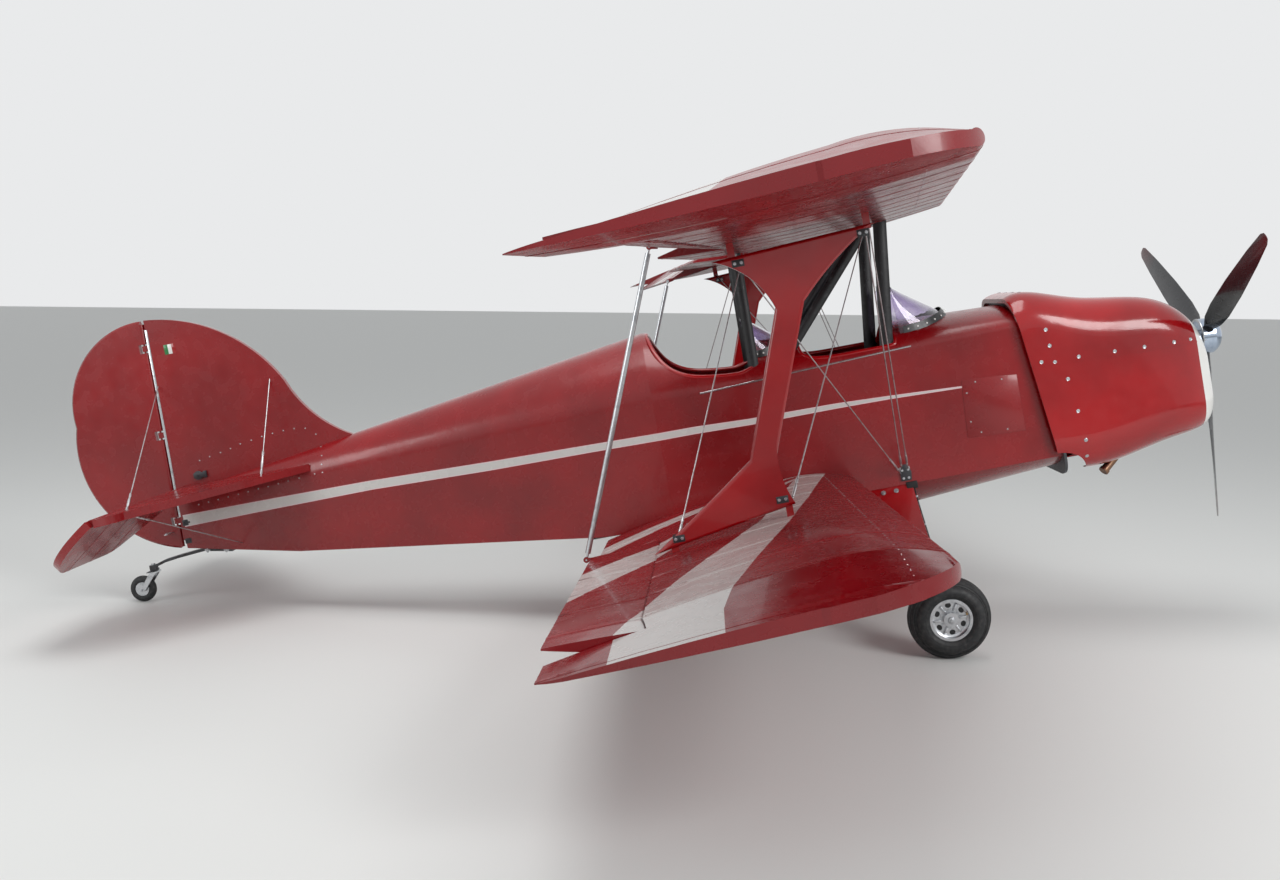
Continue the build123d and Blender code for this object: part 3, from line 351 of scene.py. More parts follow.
def modify(piece: Piece, kind: str, **settings: object) -> Piece:
    """Adds a modifier with its settings and applies it.

    Args:
        piece: the object.
        kind: the modifier's type.
        settings: values for its own settings.

    Returns:
        The same object.
    """
    only(piece)
    modifier = piece.modifiers.new(kind.title(), kind)
    for key, value in settings.items():
        setattr(modifier, key, value)
    bpy.ops.object.modifier_apply(modifier=modifier.name)
    return piece


def node_copy(name: str) -> Piece:
    """Copies a CAD node's mesh, to cut pieces from.

    Args:
        name: the node's name.

    Returns:
        The copy, its doubles merged, in the level frame.
    """
    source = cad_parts[name]
    twin = bpy.data.objects.new(f"copy_{name}", source.data.copy())
    bpy.context.collection.objects.link(twin)
    twin.data.materials.clear()
    with editing(twin, "VERT"):
        bpy.ops.mesh.select_all(action="SELECT")
        bpy.ops.mesh.remove_doubles(threshold=1e-5)
    return settle(twin, PARK.inverted())


def slab(piece: Piece, at: Point, normal: Point) -> None:
    """Cuts a piece by a plane, in mm in the level frame, and keeps the side behind it."""
    with editing(piece):
        bpy.ops.mesh.select_all(action="SELECT")
        bpy.ops.mesh.bisect(plane_co=tuple(Vector(at) * MM), plane_no=tuple(normal),
                            clear_outer=True, use_fill=False)


class Skin:
    """Finds points on the outside of a surface, in mm in the level frame."""

    def __init__(self, source: Union[str, Piece]) -> None:
        """Reads the surface of a CAD node, or of a piece still in the level frame, once."""
        known = isinstance(source, str)
        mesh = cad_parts[source].data if known else source.data
        back = PARK.inverted() if known else Matrix()
        points = [(back @ vert.co) / MM for vert in mesh.vertices]
        self.tree = BVHTree.FromPolygons(points, [face.vertices[:] for face in mesh.polygons])

    def meet(self, start: Point, run: Point) -> Optional[Hit]:
        """The first point and normal that a line from start meets.

        Args:
            start: a point off the surface.
            run: the direction to look in.

        Returns:
            The point and the outward normal, or None where the line misses.
        """
        way = Vector(run).normalized()
        spot, normal, _, _ = self.tree.ray_cast(Vector(start), way)
        if spot is None:
            return None
        return spot, (normal if normal.dot(way) < 0 else -normal)

    def seats(self, lines: Sequence[tuple[Point, Point]], lift: float = 0.0) -> list[Matrix]:
        """Where a small model stands on the surface, for each line that meets it.

        Args:
            lines: a start and a direction for each.
            lift: how far above the surface the model's origin is, in mm.

        Returns:
            A matrix for each line that meets the surface, in order.
        """
        hits = [self.meet(start, run) for start, run in lines]
        return [seat_on(*hit, lift) for hit in hits if hit]


def seat_on(spot: Vector, normal: Vector, lift: float = 0.0) -> Matrix:
    """Matrix that stands a small model on a surface, its own Z along the normal."""
    place = Matrix.Translation((spot + normal * lift) * MM)
    return place @ along(normal).to_matrix().to_4x4()


def band(near: Sequence[Vector], far: Sequence[Vector], thick: float) -> Piece:
    """A thin strip between two lines of points.

    Args:
        near: the points of one long edge, in mm in the level frame.
        far: the points of the other, one for each of near.
        thick: its thickness in mm.

    Returns:
        The new object.
    """
    rest()
    bpy.ops.mesh.primitive_grid_add(x_subdivisions=len(near) - 1, y_subdivisions=1, size=1.0)
    piece = bpy.context.object
    row = sorted(piece.data.vertices, key=lambda vert: (vert.co.y > 0, vert.co.x))
    for vert, point in zip(row, (*near, *far)):
        vert.co = point * MM
    modify(piece, "SOLIDIFY", thickness=thick * MM, offset=0.0)
    with editing(piece):
        face_outward()
    return piece


def ribbon(points: Sequence[Point], across: Point, thick: float) -> Piece:
    """A flat strap that follows points.

    Args:
        points: its middle line in mm in the level frame.
        across: the direction and length of its width, in mm.
        thick: its thickness in mm.

    Returns:
        The new object.
    """
    middle, half = [Vector(point) for point in points], Vector(across) / 2
    return band([spot - half for spot in middle], [spot + half for spot in middle], thick)


def rivet(width: float = 7.0, height: float = 2.2) -> Piece:
    """A low domed rivet head.

    Args:
        width: across the head, in mm.
        height: of the dome, in mm.

    Returns:
        The head round the origin.
    """
    head = begin(Shape.BALL, (0, 0, 0), (width, width, 2 * height), sides=8)
    with editing(head):
        bpy.ops.mesh.select_all(action="SELECT")
        bpy.ops.mesh.bisect(plane_co=(0, 0, 0), plane_no=(0, 0, -1), clear_outer=True,
                            use_fill=True)
    return head


def bolt(width: float = 12.0, height: float = 6.0) -> Piece:
    """A hexagon head on its washer.

    Args:
        width: across the corners, in mm.
        height: of the head, in mm.

    Returns:
        The head round the origin.
    """
    head = begin(Shape.ROUND, (0, 0, height / 2 + 1.4), (width, width, height), sides=6)
    soften(head, width * 0.06, 1)
    washer = begin(Shape.ROUND, (0, 0, 0.7), (width * 1.5, width * 1.5, 1.6), sides=16)
    soften(washer, 0.4, 1)
    return merge([head, washer])


# ---------------------------------------------------------------- finishes

def linear(colour: str) -> tuple[float, float, float, float]:
    """A hex sRGB colour as linear RGBA.

    Args:
        colour: six hex digits after a #.

    Returns:
        Red, green, blue and 1.
    """
    parts = [int(colour[i:i + 2], 16) / 255 for i in (1, 3, 5)]
    return (*[c / 12.92 if c <= 0.04045 else ((c + 0.055) / 1.055) ** 2.4 for c in parts], 1.0)


def node(tree: Tree, kind: str, *inputs: object, **settings: object) -> Shader:
    """Adds a node with its settings and links.

    Args:
        tree: the node tree.
        kind: the node's kind without its prefix.
        inputs: a value or a socket for each input in order, None to skip one.
        settings: the node's own settings; a dict called named fills inputs by name.

    Returns:
        The new node.
    """
    made = tree.nodes.new(f"ShaderNode{kind}")
    named = settings.pop("named", {})
    for key, value in settings.items():
        setattr(made, key, value)
    for socket, value in (*enumerate(inputs), *named.items()):
        if isinstance(value, Socket):
            tree.links.new(value, made.inputs[socket])
        elif value is not None:
            made.inputs[socket].default_value = value
    return made


def maths(tree: Tree, operation: str, first: object, second: object = None) -> Socket:
    """The result of one operation on values or sockets."""
    return node(tree, "Math", first, second, operation=operation).outputs[0]


def mixed(tree: Tree, share: Socket, first: object, second: object) -> Socket:
    """The mix of two colours by a share."""
    # A Mix node has its colours at inputs 6 and 7, and their mix at output 2
    return node(tree, "Mix", share, data_type="RGBA", named={6: first, 7: second}).outputs[2]


def placed(tree: Tree, scale: Point = (1, 1, 1)) -> Socket:
    """Coordinates of a point in the level frame, in metres times a scale."""
    spot = node(tree, "TexCoord").outputs["Object"]
    turned = Matrix.Rotation(PITCH, 4, "Y") @ -SHIFT
    level = node(tree, "Mapping", spot, tuple(turned), (0.0, PITCH, 0.0)).outputs[0]
    return node(tree, "Mapping", level, (0, 0, 0), (0, 0, 0), tuple(scale)).outputs[0]


def grains(tree: Tree, size: float, detail: float = 2.0, stretch: Point = (1, 1, 1)) -> Socket:
    """A soft noise with patches of one size.

    Args:
        tree: the node tree.
        size: the size of the patches in mm.
        detail: how many finer noises lie on top.
        stretch: how much finer it is along each axis.

    Returns:
        The socket of the noise, about 0.3 to 0.7.
    """
    named = {"Scale": 1 / (size * MM), "Detail": detail}
    return node(tree, "TexNoise", placed(tree, stretch), named=named).outputs[0]


def threads(tree: Tree, axis: str, period: float, wander: float) -> Socket:
    """Even bands, one for each thread.

    Args:
        tree: the node tree.
        axis: X, Y, Z or DIAGONAL, the direction that the bands follow each other in.
        period: from thread to thread, in mm.
        wander: how far they leave a straight line.

    Returns:
        The socket of the bands' height, 0 to 1.
    """
    # At scale 1 a wave has a band each 0.314 m
    named = {"Scale": 0.314 / (period * MM), "Distortion": wander}
    return node(tree, "TexWave", placed(tree), bands_direction=axis, named=named).outputs["Fac"]


def curve_of(tree: Tree, source: Socket, rows: Sequence[Row]) -> Socket:
    """A value that follows a table of places and values, straight between its rows.

    Args:
        tree: the node tree.
        source: the place, in the unit of the table.
        rows: place and value pairs, in rising order of place.

    Returns:
        The socket of the value.
    """
    first, last = rows[0][0], rows[-1][0]
    low, high = min(row[1] for row in rows), max(row[1] for row in rows)
    part = node(tree, "MapRange", source, first, last, 0.0, 1.0).outputs[0]
    curve = node(tree, "FloatCurve", 1.0, part)
    line = curve.mapping.curves[0]
    shares = [((x - first) / (last - first), (v - low) / (high - low)) for x, v in rows]
    line.points[0].location, line.points[1].location = shares[0], shares[-1]
    for share in shares[1:-1]:
        line.points.new(*share)
    for point in line.points:
        point.handle_type = "VECTOR"
    curve.mapping.update()
    return node(tree, "MapRange", curve.outputs[0], 0.0, 1.0, low, high).outputs[0]


def between(tree: Tree, value: Socket, low: object, high: object) -> Socket:
    """1 where a value lies between two others, else 0."""
    over = maths(tree, "GREATER_THAN", value, low)
    under = maths(tree, "LESS_THAN", value, high)
    return maths(tree, "MULTIPLY", over, under)


@dataclass(frozen=True)
class Finish:
    """A finish: its name, main colour, roughness and metal share."""
    name: str
    colour: str
    rough: float = 0.4
    metal: float = 0.0

    def material(self) -> bpy.types.Material:
        """Makes the material the first time it is asked for.

        Returns:
            The material of this finish.
        """
        made = bpy.data.materials.get(self.name)
        if made:
            return made
        made = bpy.data.materials.new(self.name)
        made.use_nodes = True
        tree = made.node_tree
        tree.nodes.clear()
        shader = tree.nodes.new("ShaderNodeBsdfPrincipled")
        out = tree.nodes.new("ShaderNodeOutputMaterial")
        tree.links.new(shader.outputs[0], out.inputs[0])
        shader.inputs["Base Color"].default_value = linear(self.colour)
        shader.inputs["Roughness"].default_value = self.rough
        shader.inputs["Metallic"].default_value = self.metal
        made.diffuse_color = linear(self.colour)
        self.dress(tree, shader)
        return made

    def dress(self, tree: Tree, shader: Shader) -> None:
        """Adds what tells this finish from a flat colour.

        Args:
            tree: the material's node tree.
            shader: its surface shader.
        """
        raise NotImplementedError


def vary(tree: Tree, shader: Shader, first: str, second: str, size: float,
         low: float = 0.4, high: float = 0.6) -> Socket:
    """Mixes two colours by a soft noise into the base colour.

    Args:
        tree: the node tree.
        shader: the surface shader.
        first: the main colour.
        second: the colour of the patches.
        size: the size of the patches in mm.
        low: noise below this is all first.
        high: noise above this is all second.

    Returns:
        The socket of the mixed colour.
    """
    share = node(tree, "MapRange", grains(tree, size, 4.0), low, high, 0.0, 1.0).outputs[0]
    mix = mixed(tree, share, linear(first), linear(second))
    tree.links.new(mix, shader.inputs["Base Color"])
    return mix


def emboss(tree: Tree, shader: Shader, height: Socket, depth: float,
           strength: float = 1.0) -> None:
    """Adds a bump on top of any bump that the shader has.

    Args:
        tree: the node tree.
        shader: the surface shader.
        height: the socket of the height, 0 to 1.
        depth: how deep 0 lies under 1, in mm.
        strength: the share of it that shows.
    """
    before = shader.inputs["Normal"].links
    bump = node(tree, "Bump", named={"Strength": strength, "Distance": depth * MM,
                                     "Height": height})
    if before:
        tree.links.new(before[0].from_socket, bump.inputs["Normal"])
    tree.links.new(bump.outputs[0], shader.inputs["Normal"])


def uneven_gloss(tree: Tree, shader: Shader, rough: float, spread: float, size: float) -> None:
    """Lets the roughness wander.

    Args:
        tree: the node tree.
        shader: the surface shader.
        rough: the middle roughness.
        spread: how far it goes to either side.
        size: the size of the patches in mm.
    """
    noise = grains(tree, size, 5.0)
    low, high = max(rough - spread, 0.02), rough + spread
    value = node(tree, "MapRange", noise, 0.3, 0.7, low, high).outputs[0]
    tree.links.new(value, shader.inputs["Roughness"])


class Marking(Enum):
    """What is painted on a red surface."""
    PLAIN = 0
    CHEATLINE = 1
    LOWER_RAYS = 2
    UPPER_RAYS = 3


# Cheatline on the flanks, in metres: x with its middle height, and x with its half width
LINE_MIDDLE = ((-3.52, 1.137), (-3.0, 1.146), (-2.5, 1.152), (-1.9, 1.1435), (-1.4, 1.1425),
               (-0.9, 1.140), (-0.65, 1.132), (-0.25, 1.1305), (0.0, 1.124), (0.35, 1.1090))
LINE_HALF = ((-3.52, 0.030), (-2.5, 0.0225), (-1.9, 0.0215), (-1.4, 0.0185), (-0.9, 0.0170),
             (-0.65, 0.0148), (-0.25, 0.0122), (0.0, 0.0082), (0.35, 0.0042))
# Outer ray on the wings, in metres: distance out with its front and rear edge behind the nose
RAY_FRONT = ((0.318, 0.130), (1.195, 0.277), (1.711, 0.387), (2.297, 0.533), (2.749, 0.635),
             (2.867, 0.660), (3.25, 0.668))
RAY_REAR = ((0.318, 0.255), (0.60, 0.311), (1.507, 0.487), (1.855, 0.625), (2.272, 0.802),
            (2.617, 0.916), (2.822, 0.979), (3.25, 0.990))

# The two inner rays: the point that they fan out from, as distance behind the wing's nose and
# distance out, and the slopes of their edges
RAY_ROOT = (0.19, 0.318)
RAY_SLOPES = ((0.545, 0.785), (1.75, 3.5))
# Where the wings' noses stand on the centre plane, in metres, and how the upper one goes back
UPPER_NOSE_X, LOWER_NOSE_X = 0.456, -0.215
SWEEP = math.tan(math.radians(8.9))


@dataclass(frozen=True)
class DopedFabric(Finish):
    """Heat-shrunk polyester cloth under coloured dope and a clear coat: a deep wet gloss
    over a weave that shows only close by, with faint drum-skin waves and darker patches."""
    dark: str = "#6E0309"
    marking: Marking = Marking.PLAIN
    pale: str = "#C6C3C0"
    lining: str = "#4E4A49"
    threads: tuple[str, str] = ("X", "Y")

    def dress(self, tree: Tree, shader: Shader) -> None:
        """Colour, markings, weave and drum-skin waves.

        Args:
            tree: the material's node tree.
            shader: its surface shader.
        """
        paint = vary(tree, shader, self.colour, self.dark, 420.0, 0.30, 0.75)
        if self.marking is Marking.CHEATLINE:
            self.cheatline(tree, shader, paint)
        elif self.marking is not Marking.PLAIN:
            self.rays(tree, shader, paint)
        shader.inputs["Coat Weight"].default_value = 0.2
        shader.inputs["Coat Roughness"].default_value = 0.06
        uneven_gloss(tree, shader, self.rough, 0.06, 60.0)
        # Threads are 0.4 mm apart; drawn at 3 mm so that they show at all
        for axis in self.threads:
            emboss(tree, shader, threads(tree, axis, 3.0, 1.0), 0.015, 0.02)
        emboss(tree, shader, grains(tree, 250.0, 1.0, (1.0, 2.4, 1.0)), 6.0, 0.3)

    def cheatline(self, tree: Tree, shader: Shader, paint: Socket) -> None:
        """The tapered line on each flank with thin light edges, and the lining inside.

        Args:
            tree: the material's node tree.
            shader: its surface shader.
            paint: the socket of the colour under the line.
        """
        spot = node(tree, "SeparateXYZ", placed(tree))
        x, z = spot.outputs[0], spot.outputs[2]
        facing = node(tree, "SeparateXYZ", node(tree, "NewGeometry").outputs["Normal"])
        outward = maths(tree, "MULTIPLY", facing.outputs[1], spot.outputs[1])
        middle, half = curve_of(tree, x, LINE_MIDDLE), curve_of(tree, x, LINE_HALF)
        off = maths(tree, "SUBTRACT", z, middle)
        away = maths(tree, "ABSOLUTE", off)
        reach = between(tree, x, -3.5, 0.342)
        lined = maths(tree, "LESS_THAN", outward, -0.002)
        inner = maths(tree, "SUBTRACT", half, 0.0028)
        for limit, colour in ((half, "#E9C9CE"), (inner, self.pale)):
            within = maths(tree, "LESS_THAN", away, limit)
            mask = maths(tree, "MULTIPLY", within, reach)
            paint = mixed(tree, mask, paint, linear(colour))
        paint = mixed(tree, lined, paint, linear(self.lining))
        tree.links.new(paint, shader.inputs["Base Color"])

    def rays(self, tree: Tree, shader: Shader, paint: Socket) -> None:
        """Three pale rays that fan out from the wing root, on the upper face only.

        Args:
            tree: the material's node tree.
            shader: its surface shader.
            paint: the socket of the colour under the rays.
        """
        spot = node(tree, "SeparateXYZ", placed(tree))
        out = maths(tree, "ABSOLUTE", spot.outputs[1])
        if self.marking is Marking.LOWER_RAYS:
            nose: object = LOWER_NOSE_X
        else:
            back = maths(tree, "MULTIPLY", out, SWEEP)
            nose = maths(tree, "SUBTRACT", UPPER_NOSE_X, back)
        chord = maths(tree, "SUBTRACT", nose, spot.outputs[0])
        mask = between(tree, chord, curve_of(tree, out, RAY_FRONT), curve_of(tree, out, RAY_REAR))
        aft = maths(tree, "SUBTRACT", chord, RAY_ROOT[0])
        span = maths(tree, "SUBTRACT", out, RAY_ROOT[1])
        slope = maths(tree, "DIVIDE", aft, span)
        for low, high in RAY_SLOPES:
            ray = between(tree, slope, low, high)
            mask = maths(tree, "MAXIMUM", mask, ray)
        up = node(tree, "SeparateXYZ", node(tree, "NewGeometry").outputs["Normal"]).outputs[2]
        top = maths(tree, "GREATER_THAN", up, 0.02)
        outer = maths(tree, "GREATER_THAN", out, 0.33)
        for gate in (top, outer):
            mask = maths(tree, "MULTIPLY", mask, gate)
        paint = mixed(tree, mask, paint, linear(self.pale))
        tree.links.new(paint, shader.inputs["Base Color"])


@dataclass(frozen=True)
class SprayedShell(Finish):
    """Two-pack enamel sprayed on moulded glass fibre or sheet: mirror gloss with a fine
    orange peel, a little darker in patches."""
    dark: str = "#860309"

    def dress(self, tree: Tree, shader: Shader) -> None:
        """Patchy colour, orange peel and a clear coat.

        Args:
            tree: the material's node tree.
            shader: its surface shader.
        """
        vary(tree, shader, self.colour, self.dark, 350.0, 0.35, 0.7)
        uneven_gloss(tree, shader, self.rough, 0.05, 45.0)
        shader.inputs["Coat Weight"].default_value = 0.35
        shader.inputs["Coat Roughness"].default_value = 0.04
        # Orange peel has cells of about 3 mm
        emboss(tree, shader, grains(tree, 3.0), 0.06, 0.5)


@dataclass(frozen=True)
class PowderCoat(Finish):
    """Powder-coated steel: satin, slightly pebbled, with rubbed lighter spots."""
    worn: str = "#3A3A3E"

    def dress(self, tree: Tree, shader: Shader) -> None:
        """Rubbed spots and a pebbled surface.

        Args:
            tree: the material's node tree.
            shader: its surface shader.
        """
        vary(tree, shader, self.colour, self.worn, 30.0, 0.58, 0.75)
        uneven_gloss(tree, shader, self.rough, 0.08, 20.0)
        emboss(tree, shader, grains(tree, 1.2), 0.08, 0.4)


class Working(Enum):
    """How a metal surface was made."""
    BRUSHED = (1.0, 14.0)
    CAST = (1.0, 1.0)
    DRAWN = (6.0, 1.0)


@dataclass(frozen=True)
class BareMetal(Finish):
    """Bare or plated metal: stretched scratches for brushed, grains for cast, runs for
    drawn; stains break up the shine."""
    stain: str = "#8A8B8E"
    working: Working = Working.BRUSHED
    grain: float = 1.5

    def dress(self, tree: Tree, shader: Shader) -> None:
        """Stains, scratches and a roughness that follows them.

        Args:
            tree: the material's node tree.
            shader: its surface shader.
        """
        vary(tree, shader, self.colour, self.stain, 25.0, 0.5, 0.8)
        wide, high = self.working.value
        marks = grains(tree, self.grain, 6.0, (wide, wide, high))
        value = node(tree, "MapRange", marks, 0.3, 0.7, self.rough * 0.7,
                     self.rough * 1.4).outputs[0]
        tree.links.new(value, shader.inputs["Roughness"])
        emboss(tree, shader, marks, 0.12, 0.35)


@dataclass(frozen=True)
class TyreRubber(Finish):
    """Moulded black tyre rubber: dull, greyed by dust, with fine mould lines round it."""
    dust: str = "#3B3A39"
    hub: tuple[float, float] = (0.036, 0.175)

    def dress(self, tree: Tree, shader: Shader) -> None:
        """Dust in patches, fine rings round the axle and a grain.

        Args:
            tree: the material's node tree.
            shader: its surface shader.
        """
        vary(tree, shader, self.colour, self.dust, 18.0, 0.45, 0.85)
        spot = node(tree, "SeparateXYZ", placed(tree))
        away = [maths(tree, "SUBTRACT", spot.outputs[i], value)
                for i, value in zip((0, 2), self.hub)]
        flat = node(tree, "CombineXYZ", *away).outputs[0]
        radius = node(tree, "VectorMath", flat, operation="LENGTH").outputs["Value"]
        # Mould rings are about 5 mm apart
        turns = maths(tree, "MULTIPLY", radius, 2 * math.pi / (5 * MM))
        rings = maths(tree, "SINE", turns)
        emboss(tree, shader, rings, 0.25, 0.35)
        emboss(tree, shader, grains(tree, 0.9), 0.15, 0.5)
        uneven_gloss(tree, shader, self.rough, 0.1, 12.0)


@dataclass(frozen=True)
class TintedAcrylic(Finish):
    """Cast acrylic sheet, violet in its depth, with faint polishing haze."""

    def dress(self, tree: Tree, shader: Shader) -> None:
        """Clear body, faint haze.

        Args:
            tree: the material's node tree.
            shader: its surface shader.
        """
        shader.inputs["Transmission Weight"].default_value = 1.0
        shader.inputs["IOR"].default_value = 1.49
        vary(tree, shader, self.colour, "#E6E0EE", 120.0)
        uneven_gloss(tree, shader, self.rough, 0.02, 35.0)


@dataclass(frozen=True)
class SeatCloth(Finish):
    """Dark woven upholstery cloth over foam: no shine, crossing threads, soft creases and
    a little fluff that lightens its edges."""
    shade: str = "#38383D"

    def dress(self, tree: Tree, shader: Shader) -> None:
        """Crossing threads, broad creases and a light nap.

        Args:
            tree: the material's node tree.
            shader: its surface shader.
        """
        vary(tree, shader, self.colour, self.shade, 30.0)
        # Threads are 1 mm apart; drawn at 3 mm so that they show at all
        for axis in ("X", "Y"):
            emboss(tree, shader, threads(tree, axis, 3.0, 0.6), 0.5, 0.6)
        crease = node(tree, "TexNoise", placed(tree), named={"Scale": 22.0, "Detail": 3.0})
        emboss(tree, shader, crease.outputs[0], 2.5, 0.4)
        uneven_gloss(tree, shader, self.rough, 0.06, 15.0)
        shader.inputs["Sheen Weight"].default_value = 0.25


@dataclass(frozen=True)
class Webbing(Finish):
    """Woven polyester harness webbing: fine cross ribs, no shine."""

    def dress(self, tree: Tree, shader: Shader) -> None:
        """Ribs 2 mm apart, and a slightly uneven colour.

        Args:
            tree: the material's node tree.
            shader: its surface shader.
        """
        emboss(tree, shader, threads(tree, "DIAGONAL", 2.0, 0.4), 0.5, 0.7)
        vary(tree, shader, self.colour, "#3F4248", 6.0)


@dataclass(frozen=True)
class BladeComposite(Finish):
    """Carbon laminate blade under satin lacquer, its last stretch tinted dark red."""
    tip: str = "#4A1218"

    def dress(self, tree: Tree, shader: Shader) -> None:
        """Twill of the carbon cloth and the tinted tips.

        Args:
            tree: the material's node tree.
            shader: its surface shader.
        """
        weave = node(tree, "TexChecker", placed(tree), linear(self.colour), linear("#26282D"),
                     1 / (5 * MM)).outputs[0]
        hub = Vector((1.562, 0.0, 1.105))
        gap = node(tree, "VectorMath", placed(tree), tuple(hub), operation="DISTANCE")
        end = node(tree, "MapRange", gap.outputs["Value"], 0.70, 0.86, 0.0, 1.0).outputs[0]
        paint = mixed(tree, end, weave, linear(self.tip))
        tree.links.new(paint, shader.inputs["Base Color"])
        shader.inputs["Coat Weight"].default_value = 0.4
        uneven_gloss(tree, shader, self.rough, 0.06, 30.0)


# Red dope on cloth, plain, with the flank line and with the wing rays: deep, wet, softly waved
CLOTH = DopedFabric("doped_polyester_red", "#90040C", 0.26)
FLANK = DopedFabric("doped_polyester_red_with_cheatline", "#90040C", 0.26,
                    marking=Marking.CHEATLINE, threads=("X", "Z"))
FIN_CLOTH = DopedFabric("doped_polyester_red_upright", "#90040C", 0.26, threads=("X", "Z"))
# The wings' cloth and tapes are a deeper, bluer red than the body's: painted sky reflection on
# their upward faces
LOWER_CLOTH = DopedFabric("doped_polyester_red_lower_rays", "#860511", 0.26,
                          marking=Marking.LOWER_RAYS)
UPPER_CLOTH = DopedFabric("doped_polyester_red_upper_rays", "#860511", 0.26,
                          marking=Marking.UPPER_RAYS)
TAPE = DopedFabric("doped_finishing_tape_red", "#8E0511", 0.30, marking=Marking.LOWER_RAYS)
UPPER_TAPE = DopedFabric("doped_finishing_tape_red_upper", "#8E0511", 0.30,
                         marking=Marking.UPPER_RAYS)
# Enamel on moulded shells: the same red and a white, harder and glossier than the cloth
SHELL = SprayedShell("enamel_on_glass_fibre_red", "#A4040C", 0.18)
WHITE = SprayedShell("enamel_on_glass_fibre_white", "#E4E3E0", 0.18, dark="#D6D5D1")
# Powder coat: satin black and grey steel that takes the light in broad dull streaks
STRUT = PowderCoat("powder_coated_steel_black", "#141417", 0.34)
DARK = PowderCoat("powder_coated_steel_grey", "#2C2D31", 0.42, worn="#55565A")
SPRING = BareMetal("oiled_spring_steel", "#4A4A4C", 0.38, 0.9, stain="#2A211C")
# Bare metals, from mirror-spun to rough cast and heat-tinted: bright breaks in the red
ALLOY = BareMetal("machined_aluminium", "#C3C5C8", 0.26, 1.0, stain="#9DA0A4")
SPUN = BareMetal("polished_spun_aluminium", "#AEBACB", 0.14, 1.0, stain="#94A2B6", grain=4.0)
STAINLESS = BareMetal("drawn_stainless_cable", "#C9C9CB", 0.30, 1.0, stain="#8C8380",
                      working=Working.DRAWN, grain=0.9)
CASTING = BareMetal("sand_cast_aluminium", "#77797C", 0.50, 0.8, stain="#3F3C3A",
                    working=Working.CAST)
GALVANISED = BareMetal("galvanised_sheet_steel", "#5E6063", 0.48, 0.9, stain="#44464A")
HOT_STEEL = BareMetal("heat_tinted_steel", "#8A6A55", 0.36, 1.0, stain="#4B3A3E")
BRASS = BareMetal("worn_brass", "#B08A4A", 0.32, 1.0, stain="#6E5430")
# Rubber, acrylic, cloth and laminate: the dark, clear and soft parts
TYRE = TyreRubber("moulded_tyre_rubber", "#17181A", 0.62)
TAIL_TYRE = TyreRubber("moulded_solid_rubber", "#17181A", 0.62, hub=(-3.787, 0.838))
BLOCK_RUBBER = PowderCoat("vulcanised_rubber_block", "#0F0F10", 0.70, worn="#232323")
GLASS = TintedAcrylic("tinted_acrylic", "#CDBFE0", 0.03)
UPHOLSTERY = SeatCloth("woven_upholstery_cloth", "#4A4A50", 0.86)
BELT = Webbing("polyester_webbing", "#23262C", 0.80)
BLADE = BladeComposite("carbon_laminate_lacquered", "#141518", 0.24)
# Cockpit enamels and prints, and the flag's green
PANEL = PowderCoat("crackle_enamel_black", "#1A1A1C", 0.58, worn="#2E2E30")
DIAL = PowderCoat("anodised_dial_face", "#0C0D0F", 0.45, worn="#16171A")
MARKS = PowderCoat("screen_printed_white", "#E8E8E4", 0.55, worn="#CFCFC8")
GREEN = SprayedShell("enamel_green", "#1E7A3C", 0.3, dark="#17652F")

NODE_FINISHES: dict[str, Finish] = {
    "cockpit_sides": FLANK, "tail_section": FLANK, "top_deck": CLOTH, "belly": CLOTH,
    "fin": FIN_CLOTH, "rudder": FIN_CLOTH, "elevator": CLOTH, "stabiliser_*": CLOTH,
    "lower_wing_*": LOWER_CLOTH, "lower_aileron_*": LOWER_CLOTH, "upper_wing_*": UPPER_CLOTH,
    "upper_aileron_*": UPPER_CLOTH, "upper_centre": UPPER_CLOTH, "engine_cowl": SHELL,
    "interplane_strut_*": SHELL, "gear_leg_*": SHELL, "nose_ring": WHITE, "firewall": GALVANISED,
    "cabane_struts": STRUT, "engine_block": CASTING, "exhaust_pipe": HOT_STEEL,
    "propeller": BLADE, "spinner": SPUN, "main_tyre_*": TYRE, "tail_tyre": TAIL_TYRE,
    "main_rim_*": ALLOY, "tail_hub": ALLOY, "shock_strut_*": ALLOY, "tail_fork": ALLOY,
    "tail_spring": SPRING, "tie_down_*": DARK, "wires_*": STAINLESS, "tail_wires_*": STAINLESS,
    "slave_strut_*": ALLOY, "front_windscreen": GLASS, "rear_windscreen": GLASS,
    "front_panel": PANEL, "rear_panel": PANEL,
}


def dress_nodes() -> None:
    """Gives every CAD node that stays in sight its finish."""
    for name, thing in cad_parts.items():
        key = name if name in NODE_FINISHES else f"{name.rsplit('_', 1)[0]}_*"
        finish = NODE_FINISHES.get(key)
        if finish is None:
            continue
        thing.data.materials.clear()
        thing.data.materials.append(finish.material())
        LOG.info("node %s: %s", name, finish.name)


def keep(piece: Piece, name: str, finish: Finish, body: str = "airframe",
         angle: float = 35.0) -> Piece:
    """Finishes a piece drawn in the level frame and fixes it to its body.

    Args:
        piece: the object, drawn in the level frame.
        name: its name.
        finish: what it is painted or made of.
        body: the CAD body that it moves with.
        angle: edges sharper than this many degrees stay sharp.

    Returns:
        The finished piece, in the row frame.
    """
    settle(piece, PARK)
    piece.name = piece.data.name = name
    piece.data.materials.clear()
    piece.data.materials.append(finish.material())
    only(piece)
    bpy.ops.object.shade_smooth_by_angle(angle=math.radians(angle))
    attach(piece, body)
    LOG.info("piece %s on %s: %d faces", name, body, len(piece.data.polygons))
    return piece


# ---------------------------------------------------------------- the aeroplane's dressing

